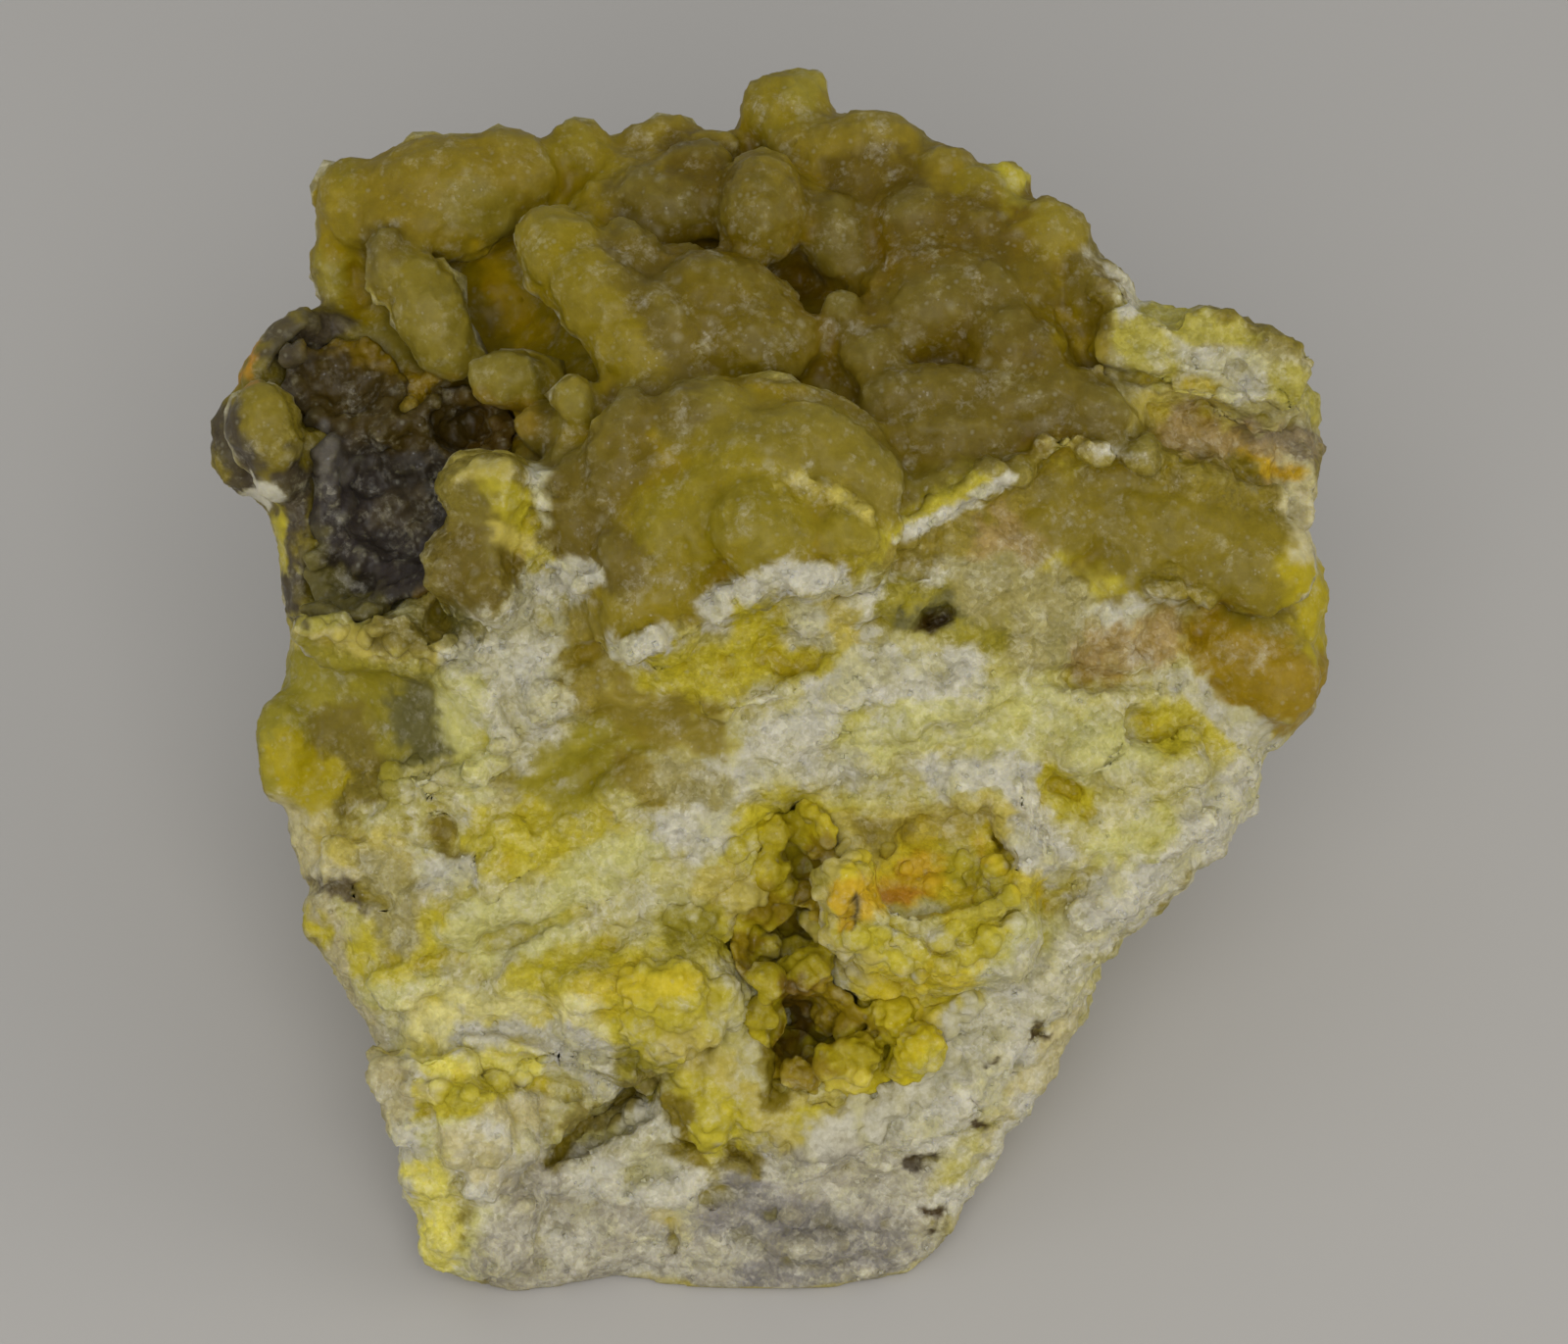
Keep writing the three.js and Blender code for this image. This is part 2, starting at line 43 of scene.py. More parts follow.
# How the specimen is looked at. Places on its face are given in the picture frame's units.
viewPlan = {
    "elevation": math.radians(50),
    "distance": 560 * mm,
    "datum": Vector((0, 11, 36.4)) * mm,  # the point of the face that the view is centred on
    "frameMiddle": (800, 685.5),
    "frameWidth": 1600,
    "unitsPerMm": 12,
    "sensorMm": 36,
    "nearest": 10 * mm,
}
across = Vector((1, 0, 0))
upSlope = Vector((0, math.sin(viewPlan["elevation"]), math.cos(viewPlan["elevation"])))
outward = Vector((0, -math.cos(viewPlan["elevation"]), math.sin(viewPlan["elevation"])))
eye = viewPlan["datum"] + outward * viewPlan["distance"]
faceTurn = Matrix((across, upSlope, outward)).transposed().to_4x4()


def rayAt(x, y):
    midX, midY = viewPlan["frameMiddle"]
    unit = mm / viewPlan["unitsPerMm"]
    aim = across * (x - midX) * unit + upSlope * (midY - y) * unit - outward * viewPlan["distance"]
    return aim.normalized()


# Where points of a mesh show in the picture frame.
def frameSpots(points):
    offset = points - np.array(viewPlan["datum"])
    out = offset @ np.array(outward)
    scale = viewPlan["distance"] / (viewPlan["distance"] - out) * viewPlan["unitsPerMm"] / mm
    x = viewPlan["frameMiddle"][0] + (offset @ np.array(across)) * scale
    y = viewPlan["frameMiddle"][1] - (offset @ np.array(upSlope)) * scale
    return x, y


def newObject(name, data):
    piece = bpy.data.objects.new(name, data)
    bpy.context.scene.collection.objects.link(piece)
    return piece


def addCamera():
    lens = bpy.data.cameras.new("faceCamera")
    lens.sensor_width = viewPlan["sensorMm"]
    viewWidth = viewPlan["frameWidth"] / viewPlan["unitsPerMm"]
    lens.lens = viewPlan["sensorMm"] * viewPlan["distance"] / mm / viewWidth
    lens.clip_start = viewPlan["nearest"]
    camera = newObject("faceCamera", lens)
    camera.matrix_world = Matrix.Translation(eye) @ faceTurn
    bpy.context.scene.camera = camera


def makeActive(piece):
    bpy.ops.object.select_all(action="DESELECT")
    piece.select_set(True)
    bpy.context.view_layer.objects.active = piece


def copyOfNode(node, name):
    piece = newObject(name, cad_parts[node].data.copy())
    piece.data.materials.clear()
    makeActive(piece)
    bpy.ops.object.mode_set(mode="EDIT")
    bpy.ops.mesh.select_all(action="SELECT")
    bpy.ops.mesh.remove_doubles(threshold=0.01 * mm)
    bpy.ops.object.mode_set(mode="OBJECT")
    return piece


def treeOf(piece):
    data = piece.data
    return BVHTree.FromPolygons([v.co for v in data.vertices], [p.vertices for p in data.polygons])


def seatOn(tree, x, y):
    aim = rayAt(x, y)
    hit = tree.ray_cast(eye, aim)[0]
    if hit is None:
        hit = tree.find_nearest(eye + aim * viewPlan["distance"])[0]
    return hit


def applyModifier(piece, kind, **settings):
    makeActive(piece)
    modifier = piece.modifiers.new(kind.title(), kind)
    for key, value in settings.items():
        setattr(modifier, key, value)
    bpy.ops.object.modifier_apply(modifier=modifier.name)


def remesh(piece, voxel):
    applyModifier(piece, "REMESH", mode="VOXEL", voxel_size=voxel * mm)


def soften(piece, rounds, group=""):
    applyModifier(piece, "SMOOTH", factor=0.5, iterations=rounds, vertex_group=group)


def joinInto(piece, others):
    makeActive(piece)
    for other in others:
        other.select_set(True)
    bpy.ops.object.join()
    return piece


def reportTriangles(label, piece):
    print(label + ": triangles", sum(len(p.vertices) - 2 for p in piece.data.polygons))


def coordsOf(piece):
    coords = np.empty(len(piece.data.vertices) * 3, np.float32)
    piece.data.vertices.foreach_get("co", coords)
    return coords.reshape(-1, 3).astype(float)


def normalsOf(piece):
    normals = np.empty(len(piece.data.vertices) * 3, np.float32)
    piece.data.vertex_normals.foreach_get("vector", normals)
    return normals.reshape(-1, 3).astype(float)


# How squarely each point looks at the viewer, from 1 to -1.
def facingOf(piece):
    return normalsOf(piece) @ np.array(outward)


def moveAlong(piece, amounts, direction):
    coords = coordsOf(piece) + np.outer(amounts, np.array(direction))
    piece.data.vertices.foreach_set("co", coords.astype(np.float32).ravel())
    piece.data.update()


def setGroup(piece, name, weights, faintest=0.01):
    group = piece.vertex_groups.new(name=name)
    for index in np.nonzero(weights > faintest)[0]:
        group.add([int(index)], float(weights[index]), "REPLACE")


# Distance in the picture frame from each spot to a line between two places.
def lineDistance(x, y, start, end):
    (ax, ay), (bx, by) = start, end
    length = max((bx - ax) ** 2 + (by - ay) ** 2, 1e-6)
    share = np.clip(((x - ax) * (bx - ax) + (y - ay) * (by - ay)) / length, 0, 1)
    return np.hypot(x - ax - share * (bx - ax), y - ay - share * (by - ay))


def smoothStep(low, high, value):
    t = np.clip((value - low) / (high - low), 0, 1)
    return t * t * (3 - 2 * t)


# How far inside a closed outline each spot lies, negative outside.
def insideDepth(x, y, outline):
    nearest = np.full(len(x), 1e9)
    inside = np.zeros(len(x), bool)
    for (ax, ay), (bx, by) in zip(outline, outline[1:] + outline[:1]):
        nearest = np.minimum(nearest, lineDistance(x, y, (ax, ay), (bx, by)))
        crosses = (ay > y) != (by > y)
        inside ^= crosses & (x < (bx - ax) * (y - ay) / (by - ay + 1e-9) + ax)
    return np.where(inside, nearest, -nearest)


def isInside(x, y, outline):
    return insideDepth(np.array([x]), np.array([y]), outline)[0] > 0


# Soft unevenness with swells of so many millimetres. Each seed gives its own pattern.
def wobble(points, size, seed):
    shift = Vector((seed * 7.3, seed * 3.1, seed * 5.7))
    return np.array([noise.noise(Vector(p) / (size * mm) + shift) for p in points])


def smoothedCopy(piece, rounds):
    copy = newObject("smoothedCopy", piece.data.copy())
    soften(copy, rounds)
    coords, normals = coordsOf(copy), normalsOf(copy)
    bpy.data.objects.remove(copy)
    return coords, normals


# How far each point stands proud of its surroundings, in millimetres, and the way its surroundings look.
def proudness(piece, rounds):
    smoothed, broad = smoothedCopy(piece, rounds)
    return np.sum((coordsOf(piece) - smoothed) * broad, axis=1) / mm, broad


lumpPlan = {
    "ballDetail": 3,
    "fingerHeight": 0.95,  # of its radius
    "fingerSink": 0.9,  # of its radius
    "swellSink": 0.45,  # of its height
    "blockSize": 1.7,
    "blockBevel": 0.25,
    "blockJitter": 0.16,
    "blockSink": 0.3,  # in millimetres
}


# A lump set on the face: where it shows, its half sizes and lift in millimetres, its turn in degrees.
def addLump(tree, x, y, halves, lift=0.0, turn=0.0, blocky=False, seed=0):
    seat = seatOn(tree, x, y) + outward * lift * mm
    if blocky:
        bpy.ops.mesh.primitive_cube_add(size=lumpPlan["blockSize"])
        bpy.ops.object.mode_set(mode="EDIT")
        bpy.ops.mesh.select_all(action="SELECT")
        bpy.ops.mesh.bevel(offset=lumpPlan["blockBevel"], segments=1)
        bpy.ops.mesh.subdivide(number_cuts=1)
        bpy.ops.transform.vertex_random(offset=lumpPlan["blockJitter"], seed=seed)
        bpy.ops.object.mode_set(mode="OBJECT")
    else:
        bpy.ops.mesh.primitive_ico_sphere_add(subdivisions=lumpPlan["ballDetail"], radius=1)
    lump = bpy.context.active_object
    stretch = Matrix.Diagonal(Vector(halves) * mm).to_4x4()
    spin = Matrix.Rotation(math.radians(turn), 4, "Z")
    lump.matrix_world = Matrix.Translation(seat) @ faceTurn @ spin @ stretch
    makeActive(lump)
    bpy.ops.object.transform_apply(location=True, rotation=True, scale=True)
    return lump


# A rounded finger of the growth bed, drawn out between two places of the frame.
def addFinger(tree, start, end, radius, lift):
    midX, midY = (start[0] + end[0]) / 2, (start[1] + end[1]) / 2
    reach = math.dist(start, end) / 2 / viewPlan["unitsPerMm"]
    turn = math.degrees(math.atan2(start[1] - end[1], end[0] - start[0]))
    halves = (radius + reach, radius, radius * lumpPlan["fingerHeight"])
    return addLump(tree, midX, midY, halves, lift - lumpPlan["fingerSink"] * radius, turn)


clusterPlan = {
    "coreCut": 1.1,  # how much smaller the core is than the whole, in beads
    "sway": 0.5,  # uneven spacing, in radians
    "beadSpread": (0.6, 1.5),
    "beadSink": (0.8, 1.2),
    "beadSwell": 1.08,
}


# A cauliflower lump: a core ball with beads spread over it, of radius 1 in all.
def makeCluster(name, beads, beadSize):
    bpy.ops.mesh.primitive_ico_sphere_add(subdivisions=2, radius=1 - clusterPlan["coreCut"] * beadSize)
    core = bpy.context.active_object
    core.name = name
    spread, dice, sway = [], random.Random(beads), clusterPlan["sway"]
    for index in range(beads):
        height = 1 - 2 * (index + 0.5) / beads
        ring = math.sqrt(1 - height ** 2)
        angle = index * math.pi * (3 - math.sqrt(5)) + dice.uniform(-sway, sway)
        size = beadSize * dice.uniform(*clusterPlan["beadSpread"])
        spot = Vector((ring * math.cos(angle), ring * math.sin(angle), height))
        spot *= 1 - size * dice.uniform(*clusterPlan["beadSink"])
        radius = size * clusterPlan["beadSwell"]
        bpy.ops.mesh.primitive_ico_sphere_add(subdivisions=1, radius=radius, location=spot)
        spread.append(bpy.context.active_object)
        makeActive(spread[-1])
        bpy.ops.object.transform_apply(location=True)
    return joinInto(core, spread)


def placeCopy(source, spot, sizes, spin):
    copy = newObject(source.name + "Copy", source.data.copy())
    copy.data.transform(Matrix.Translation(spot) @ spin.to_4x4() @ Matrix.Diagonal(Vector(sizes)).to_4x4())
    return copy


def randomSpin(dice):
    return Euler([dice.uniform(0, math.tau) for _ in range(3)]).to_matrix()


# Outline of the waxy growth bed in the picture frame.
bedOutline = [
    (290, 90), (1110, 60), (1125, 290), (1125, 345), (1175, 430), (1150, 462), (1090, 452), (1035, 478),
    (995, 485), (935, 532), (908, 560), (840, 572), (765, 600), (705, 640), (640, 668), (612, 705),
    (588, 640), (598, 585), (568, 545), (560, 490), (535, 462), (500, 430), (455, 395), (400, 375),
    (340, 320), (318, 290),
]
rockPlan = {
    "voxel": 0.455,
    "firstVoxel": 1.5,  # times the voxel, before the lobes are set on
    "bedSink": 1.0,  # the bed is let down so many millimetres before its lobes are set on it
    "bedEdge": (-10, 30),  # frame units inside the bed's outline over which it is let down
    "creviceRounds": 30,
    "creviceSpread": 24,
    "softRounds": ((3, 2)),  # of the bed, then of the whole
    "broadRounds": 40,
    "waxyEdge": 14,  # frame units to each side of the bed's outline
    "footGap": (0.3, 2.2),  # the skin stays smooth this near the table, in millimetres
    "backFaces": (-0.15, 0.1),  # how far a face has turned away, and the share of faces kept there
    "bedFaces": (6, 0.56),  # frame units inside the outline, and the share of faces kept there
    "lobePaint": 10.5,  # frame units of colour for a millimetre of a lobe's radius
    # lobes of the growth bed: both ends in the frame, radius and lift in millimetres, finish. The bright
    # finish of the dome's front lobes is partly painted light, where they face the front lamp.
    "lobes": [
        (362, 202, 374, 216, 3.9, 0.1, "bedGold"), (425, 188, 490, 190, 4.7, 0.2, "bedWarm"),
        (516, 166, 530, 178, 3.5, 0.1, "bedWarm"), (400, 222, 470, 226, 3.4, 0.2, "bedWarm"),
        (474, 210, 500, 214, 2.6, 0.4, "bedPale"), (335, 262, 339, 282, 1.4, 0.2, "bedLemon"),
        (393, 252, 398, 288, 2.0, 0.2, "bedGrey"), (426, 290, 453, 352, 3.2, 1.0, "bedPale"),
        (566, 252, 598, 284, 3.8, 0.9, "bedGold"), (602, 290, 650, 342, 3.9, 1.0, "bedGold"),
        (640, 345, 688, 388, 4.0, 0.5, "bedGold"), (640, 245, 676, 306, 2.4, 0.5, "bedGrey"),
        (676, 312, 702, 370, 2.4, 0.4, "bedGrey"), (722, 298, 768, 322, 4.3, 0.5, "bedMid"),
        (745, 345, 788, 346, 4.2, 0.4, "bedMid"), (778, 200, 778, 224, 3.7, 0.9, "bedMid"),
        (800, 113, 808, 122, 3.9, 0.4, "bedGold"), (815, 148, 845, 158, 2.8, 0.3, "bedWarm"),
        (823, 84, 828, 92, 1.7, 0.9, "bedLemon"), (662, 204, 704, 206, 3.7, 0.2, "bedGrey"),
        (588, 150, 598, 158, 2.7, 0.4, "bedGold"), (650, 143, 700, 140, 1.8, 0.3, "bedWarm"),
        (680, 133, 690, 135, 1.7, 0.4, "bedWarm"), (724, 146, 740, 150, 1.6, 0.3, "bedWarm"),
        (700, 166, 724, 170, 2.3, 0.4, "bedDark"), (880, 140, 915, 148, 2.8, 0.4, "bedWarm"),
        (845, 150, 850, 165, 2.4, 0.3, "bedWarm"), (870, 178, 930, 182, 2.5, 0.3, "bedDark"),
        (962, 170, 980, 176, 2.2, 0.4, "bedWarm"), (1000, 190, 1012, 202, 2.0, 0.4, "bedGold"),
        (1030, 176, 1036, 186, 1.3, 0.5, "bedLemon"), (852, 226, 858, 252, 3.0, 0.4, "bedGrey"),
        (932, 222, 958, 226, 3.1, 0.4, "bedDark"), (1000, 228, 1010, 238, 2.6, 0.1, "bedDark"),
        (1070, 228, 1085, 240, 2.6, 0.7, "bedGold"), (1050, 276, 1058, 296, 2.2, 0.5, "bedMid"),
        (858, 315, 864, 320, 1.8, 0.5, "bedGrey"), (889, 362, 898, 368, 2.8, 0.5, "bedGrey"),
        (935, 322, 990, 302, 3.8, 0.3, "bedGrey"), (1028, 346, 1054, 358, 3.2, 0.4, "bedDark"),
        (965, 356, 990, 360, 2.8, 0.2, "bedDark"), (1005, 290, 1018, 300, 2.5, 0.6, "bedGrey"),
        (905, 404, 1000, 398, 2.6, 0.2, "bedGrey"), (1020, 406, 1105, 402, 2.9, 0.2, "bedGrey"),
        (1118, 412, 1130, 422, 2.2, 0.4, "bedGrey"), (930, 440, 1010, 438, 2.8, 0.2, "bedGrey"),
        (1110, 286, 1120, 320, 2.2, 0.4, "bedMid"), (766, 474, 812, 486, 5.2, 0.6, "bedLitFront"),
        (848, 468, 884, 490, 3.4, 0.3, "bedPale"), (788, 440, 846, 444, 2.6, 0.3, "bedPale"),
        (770, 536, 788, 548, 4.0, 1.2, "bedLitFront"), (684, 530, 690, 566, 4.2, 0.5, "bedLitFront"),
        (668, 606, 690, 600, 3.4, 0.4, "bedGold"), (640, 428, 620, 500, 2.9, 0.3, "bedMid"),
        (588, 490, 590, 550, 2.5, 0.3, "bedGrey"), (640, 612, 650, 640, 2.7, 0.5, "bedGold"),
        (696, 424, 740, 420, 3.0, 0.3, "bedPale"), (655, 412, 690, 408, 2.7, 0.3, "bedGrey"),
        (506, 385, 524, 387, 2.6, 1.3, "bedPale"), (585, 404, 586, 414, 1.9, 1.1, "bedPale"),
        (545, 436, 548, 440, 1.9, 0.8, "bedGrey"), (500, 588, 500, 600, 2.4, 0.3, "bedGrey"),
        (462, 560, 460, 590, 2.2, 0.4, "bedGrey"), (268, 422, 276, 446, 3.1, 0.7, "bedPale"),
        (860, 540, 872, 548, 2.4, 0.4, "bedLitFront"), (720, 500, 724, 520, 2.6, 0.4, "bedLitFront"),
        (630, 560, 634, 585, 2.0, 0.5, "bedGrey"),
    ],
    # lumps: place in the frame; half sizes across, up and out, and lift, in millimetres; turn in degrees
    "lowSwells": [
        (1200, 535, 7.0, 3.4, 2.2, -0.5, -18), (1290, 575, 4.6, 4.4, 2.2, -0.4, 0),
        (1275, 665, 5.0, 3.6, 2.4, -0.2, -30), (1310, 690, 3.4, 4.0, 2.2, -0.3, 0),
    ],
    "flakes": [
        (603, 590, 1.9, 1.3, 1.2, 0.9, 10), (655, 655, 2.2, 1.4, 1.2, 0.9, 25),
        (700, 640, 1.4, 0.9, 1.0, 0.5, 30), (735, 617, 2.0, 1.3, 1.2, 0.9, 35),
        (775, 598, 2.4, 1.4, 1.3, 1.1, 30), (832, 590, 2.3, 1.5, 1.3, 1.1, 10),
        (822, 497, 1.6, 0.8, 0.7, 0.2, 0), (858, 504, 1.8, 0.6, 0.7, 0.2, -20),
        (882, 524, 0.7, 0.9, 0.7, 0.2, -50), (930, 540, 1.9, 1.0, 1.2, 0.8, 35),
        (965, 515, 2.2, 1.0, 1.2, 0.8, 35), (1005, 492, 2.2, 1.0, 1.2, 0.8, 25),
        (1080, 455, 2.2, 1.2, 1.3, 0.8, 10), (1115, 462, 1.6, 1.3, 1.2, 0.9, 0),
        (1160, 465, 1.3, 1.2, 1.4, 1.0, 0), (1190, 600, 2.4, 0.9, 1.1, 0.7, -12),
        (1225, 607, 1.7, 0.8, 1.0, 0.6, -20), (560, 500, 1.2, 1.8, 1.2, 0.7, 0),
        (1050, 860, 2.0, 3.4, 1.6, 0.9, 25), (1030, 815, 1.6, 2.0, 1.3, 0.6, 20),
        (545, 1068, 3.0, 1.2, 1.4, 0.8, 8), (620, 1092, 3.4, 1.1, 1.3, 0.9, -12),
        (500, 660, 1.4, 1.2, 1.0, 0.4, 0), (470, 690, 1.6, 1.0, 1.0, 0.3, 30),
        (500, 780, 2.6, 1.6, 1.2, 0.6, 30), (445, 800, 2.2, 1.6, 1.2, 0.5, 30),
        (400, 640, 2.4, 1.2, 1.3, 0.8, -10), (330, 640, 3.0, 1.2, 1.4, 0.8, -8),
        (450, 655, 1.5, 1.2, 1.2, 0.7, -15), (850, 945, 2.0, 1.6, 1.6, 0.9, -30),
        (900, 975, 2.2, 1.2, 1.4, 0.7, -25), (960, 985, 2.0, 1.2, 1.3, 0.5, -10),
        (1130, 300, 1.8, 1.4, 1.3, 0.6, -30),
    ],
    "blocks": [
        (1160, 350, 4.2, 2.8, 2.2, 0.4, -15), (1240, 345, 4.0, 2.6, 2.4, 0.5, -15),
        (1300, 375, 3.6, 3.2, 2.4, 0.4, -20), (1230, 395, 3.4, 1.8, 2.0, 0.3, -10),
        (1320, 500, 2.0, 4.2, 2.2, 0.2, 0), (1180, 780, 4.4, 2.6, 1.8, 0.1, 25),
        (1110, 760, 3.8, 2.2, 1.6, 0.1, 20), (1000, 790, 3.2, 2.2, 1.5, 0.0, 25),
        (1200, 850, 4.2, 2.0, 1.8, 0.1, 35), (1120, 920, 3.6, 2.2, 1.8, 0.1, 40),
        (760, 700, 4.6, 2.2, 1.6, 0.1, 25), (900, 700, 4.8, 2.0, 1.6, 0.0, 20),
        (650, 800, 4.4, 2.6, 1.6, 0.0, 35), (570, 700, 3.8, 2.6, 1.8, 0.1, 30),
        (520, 880, 3.8, 2.2, 1.6, 0.0, 35), (360, 880, 3.4, 2.4, 1.8, 0.1, 0),
        (420, 1000, 4.0, 2.4, 1.8, 0.1, 30), (480, 1150, 3.6, 4.0, 2.2, 0.2, 5),
        (445, 1100, 3.6, 2.4, 2.2, 0.3, 0), (866, 925, 3.0, 3.8, 2.2, 0.8, 20),
        (900, 958, 4.4, 2.0, 2.2, 0.7, -28), (408, 1122, 2.4, 4.6, 2.2, 0.2, 12),
    ],
    # waxy growth outside the main bed: both ends and radius in the frame's units
    "waxySpots": [
        (1110, 530, 1300, 600, 62), (1270, 680, 1320, 720, 52), (285, 680, 300, 800, 40),
        (340, 720, 430, 740, 46), (640, 720, 740, 760, 30), (560, 800, 640, 760, 34),
        (505, 490, 475, 600, 30), (1330, 560, 1350, 650, 26), (330, 645, 430, 650, 16),
        (258, 420, 272, 480, 40), (284, 545, 290, 610, 22), (300, 320, 255, 370, 20),
    ],
    # strokes that sink the face, or lift it where the depth is negative: both ends and radius in the
    # frame's units, depth in millimetres
    "bays": [
        (480, 280, 560, 350, 44, -0.8), (352, 268, 365, 310, 20, 1.2), (815, 265, 820, 285, 22, 2.6),
        (730, 400, 850, 412, 9, 1.2), (748, 570, 760, 585, 14, 1.6), (1090, 300, 1095, 370, 16, 1.4),
        (705, 235, 750, 258, 12, 1.2), (895, 260, 905, 280, 12, 1.2), (640, 262, 655, 300, 4, 0.8),
    ],
    "ledges": [
        (530, 925, 700, 850, 26, -1.3), (700, 850, 850, 765, 26, -1.2), (850, 765, 1000, 700, 26, -1.0),
        (540, 830, 650, 750, 22, 1.1), (670, 735, 830, 665, 20, 1.0), (410, 930, 520, 850, 20, -0.9),
        (430, 985, 600, 925, 12, 1.0), (540, 1010, 680, 1010, 34, -1.6), (480, 1060, 640, 1094, 10, -1.3),
        (470, 1092, 600, 1120, 11, 1.4), (420, 1120, 520, 1110, 18, -1.0), (880, 895, 1020, 900, 46, -1.6),
        (1042, 800, 1066, 872, 12, -1.4), (1020, 850, 1030, 930, 9, 1.2), (1100, 770, 1210, 790, 30, -1.2),
        (1000, 950, 1100, 900, 12, 1.3), (1120, 920, 1260, 820, 16, -1.0), (1085, 690, 1200, 700, 12, 1.0),
        (940, 1160, 1080, 1000, 26, -0.9), (620, 1215, 700, 1215, 18, -1.2), (720, 1215, 790, 1235, 14, 1.0),
        (800, 1275, 900, 1265, 16, -1.0), (500, 640, 560, 600, 18, -1.0), (470, 700, 520, 760, 18, -1.1),
        (560, 690, 610, 660, 12, 1.1), (390, 800, 490, 790, 14, -1.2), (400, 845, 440, 850, 10, 1.0),
        (1150, 380, 1300, 395, 9, 1.2), (1180, 420, 1330, 430, 8, 1.0), (820, 640, 960, 590, 12, -0.8),
    ],
    "dents": [
        (380, 735, 420, 745, 34, 0.8), (948, 634, 965, 630, 9, 3.5), (372, 912, 385, 916, 9, 1.6),
        (450, 850, 456, 876, 9, 1.0), (320, 905, 345, 915, 12, 0.6), (1262, 378, 1272, 384, 8, 1.5),
        (1312, 400, 1318, 408, 9, 1.8), (865, 935, 868, 928, 5, 1.0), (640, 700, 900, 640, 16, 1.0),
        (480, 800, 620, 730, 16, 1.0), (760, 790, 900, 760, 12, 0.8), (1000, 690, 1200, 690, 12, 0.8),
        (1180, 720, 1130, 760, 12, 1.0), (1085, 800, 1110, 830, 14, 1.2), (600, 1060, 680, 1040, 20, 0.8),
        (685, 1250, 690, 1275, 8, 1.2), (760, 1180, 800, 1190, 12, 1.5), (470, 1200, 465, 1222, 8, 1.2),
        (1058, 1052, 1062, 1064, 6, 1.2), (1035, 1085, 1040, 1092, 5, 1.0), (990, 1120, 1000, 1130, 6, 1.0),
        (905, 1180, 940, 1170, 7, 0.8), (455, 620, 440, 640, 14, 2.0), (562, 1188, 600, 1140, 6, 1.5),
        (600, 1140, 664, 1104, 6, 1.9), (744, 1172, 770, 1190, 6, 2.0), (690, 1130, 705, 1160, 14, 1.2),
        (1002, 1144, 1004, 1148, 5, 1.2), (935, 1184, 945, 1186, 6, 0.8), (1120, 560, 1090, 590, 14, 0.8),
        (860, 660, 800, 680, 12, 0.8), (520, 560, 560, 640, 12, 0.8),
    ],
    # relief of the skin: texture, kind, grain and height in millimetres, where, further settings
    "relief": [
        ("skinLumps", "CLOUDS", 1.8, 0.7, "waxy", {"noise_depth": 2}),
        ("skinGrains", "VORONOI", 1.1, -0.38, "waxy", {}),
        ("breakSwell", "CLOUDS", 6, 2.6, "broken", {"noise_depth": 2}),
        ("breakLumps", "VORONOI", 3.2, -1.1, "broken", {}),
        ("breakGrains", "CLOUDS", 1.2, 1.0, "broken", {"noise_depth": 2}),
        ("breakShards", "VORONOI", 1.1, 0.4, "broken", {"color_mode": "POSITION"}),
    ],
}


# Sinks or lifts the face along strokes, where it looks towards the viewer.
def carve(piece, strokes):
    x, y = frameSpots(coordsOf(piece))
    sink = np.zeros(len(x))
    for *line, radius, depth in strokes:
        reach = lineDistance(x, y, line[:2], line[2:])
        stroke = depth * (1 - smoothStep(0.3 * radius, 1.3 * radius, reach))
        sink = np.where(np.abs(stroke) > np.abs(sink), stroke, sink)
    sink *= smoothStep(-0.1, 0.3, facingOf(piece))
    moveAlong(piece, -sink * mm, outward)


# Pushes a surface out and in by a texture, within a vertex group, by so many millimetres from dip to crest.
def roughen(piece, name, kind, size, strength, group, settings):
    texture = bpy.data.textures.new(name, kind)
    texture.noise_scale = size * mm
    for key, value in settings.items():
        setattr(texture, key, value)
    applyModifier(piece, "DISPLACE", texture=texture, texture_coords="LOCAL", mid_level=0.5,
                  strength=strength * mm, vertex_group=group)


# How waxy each spot is, from 0 on the break to 1 on the growth bed. The flakes' sugar cuts into it.
def waxyShare(x, y, broadFacing):
    edge = rockPlan["waxyEdge"]
    share = smoothStep(-edge, edge, insideDepth(x, y, bedOutline))
    for *line, radius in rockPlan["waxySpots"]:
        reach = lineDistance(x, y, line[:2], line[2:])
        share = np.maximum(share, 1 - smoothStep(0.7 * radius, 1.2 * radius, reach))
    for flakeX, flakeY, *halves, _, _ in rockPlan["flakes"]:
        radius = 9 * max(halves)
        share = np.minimum(share, smoothStep(0.8 * radius, 1.5 * radius, np.hypot(x - flakeX, y - flakeY)))
    return share * smoothStep(-0.25, 0.15, broadFacing)


# Thins the mesh where the marked spots lie, to a share of its faces.
def coarsen(piece, marks, ratio):
    picked = [marks[list(p.vertices)].min() for p in piece.data.polygons]
    makeActive(piece)
    bpy.ops.object.mode_set(mode="EDIT")
    bpy.ops.mesh.select_mode(type="FACE")
    bpy.ops.mesh.select_all(action="DESELECT")
    bpy.ops.object.mode_set(mode="OBJECT")
    piece.data.polygons.foreach_set("select", picked)
    bpy.ops.object.mode_set(mode="EDIT")
    bpy.ops.mesh.decimate(ratio=ratio)
    bpy.ops.object.mode_set(mode="OBJECT")


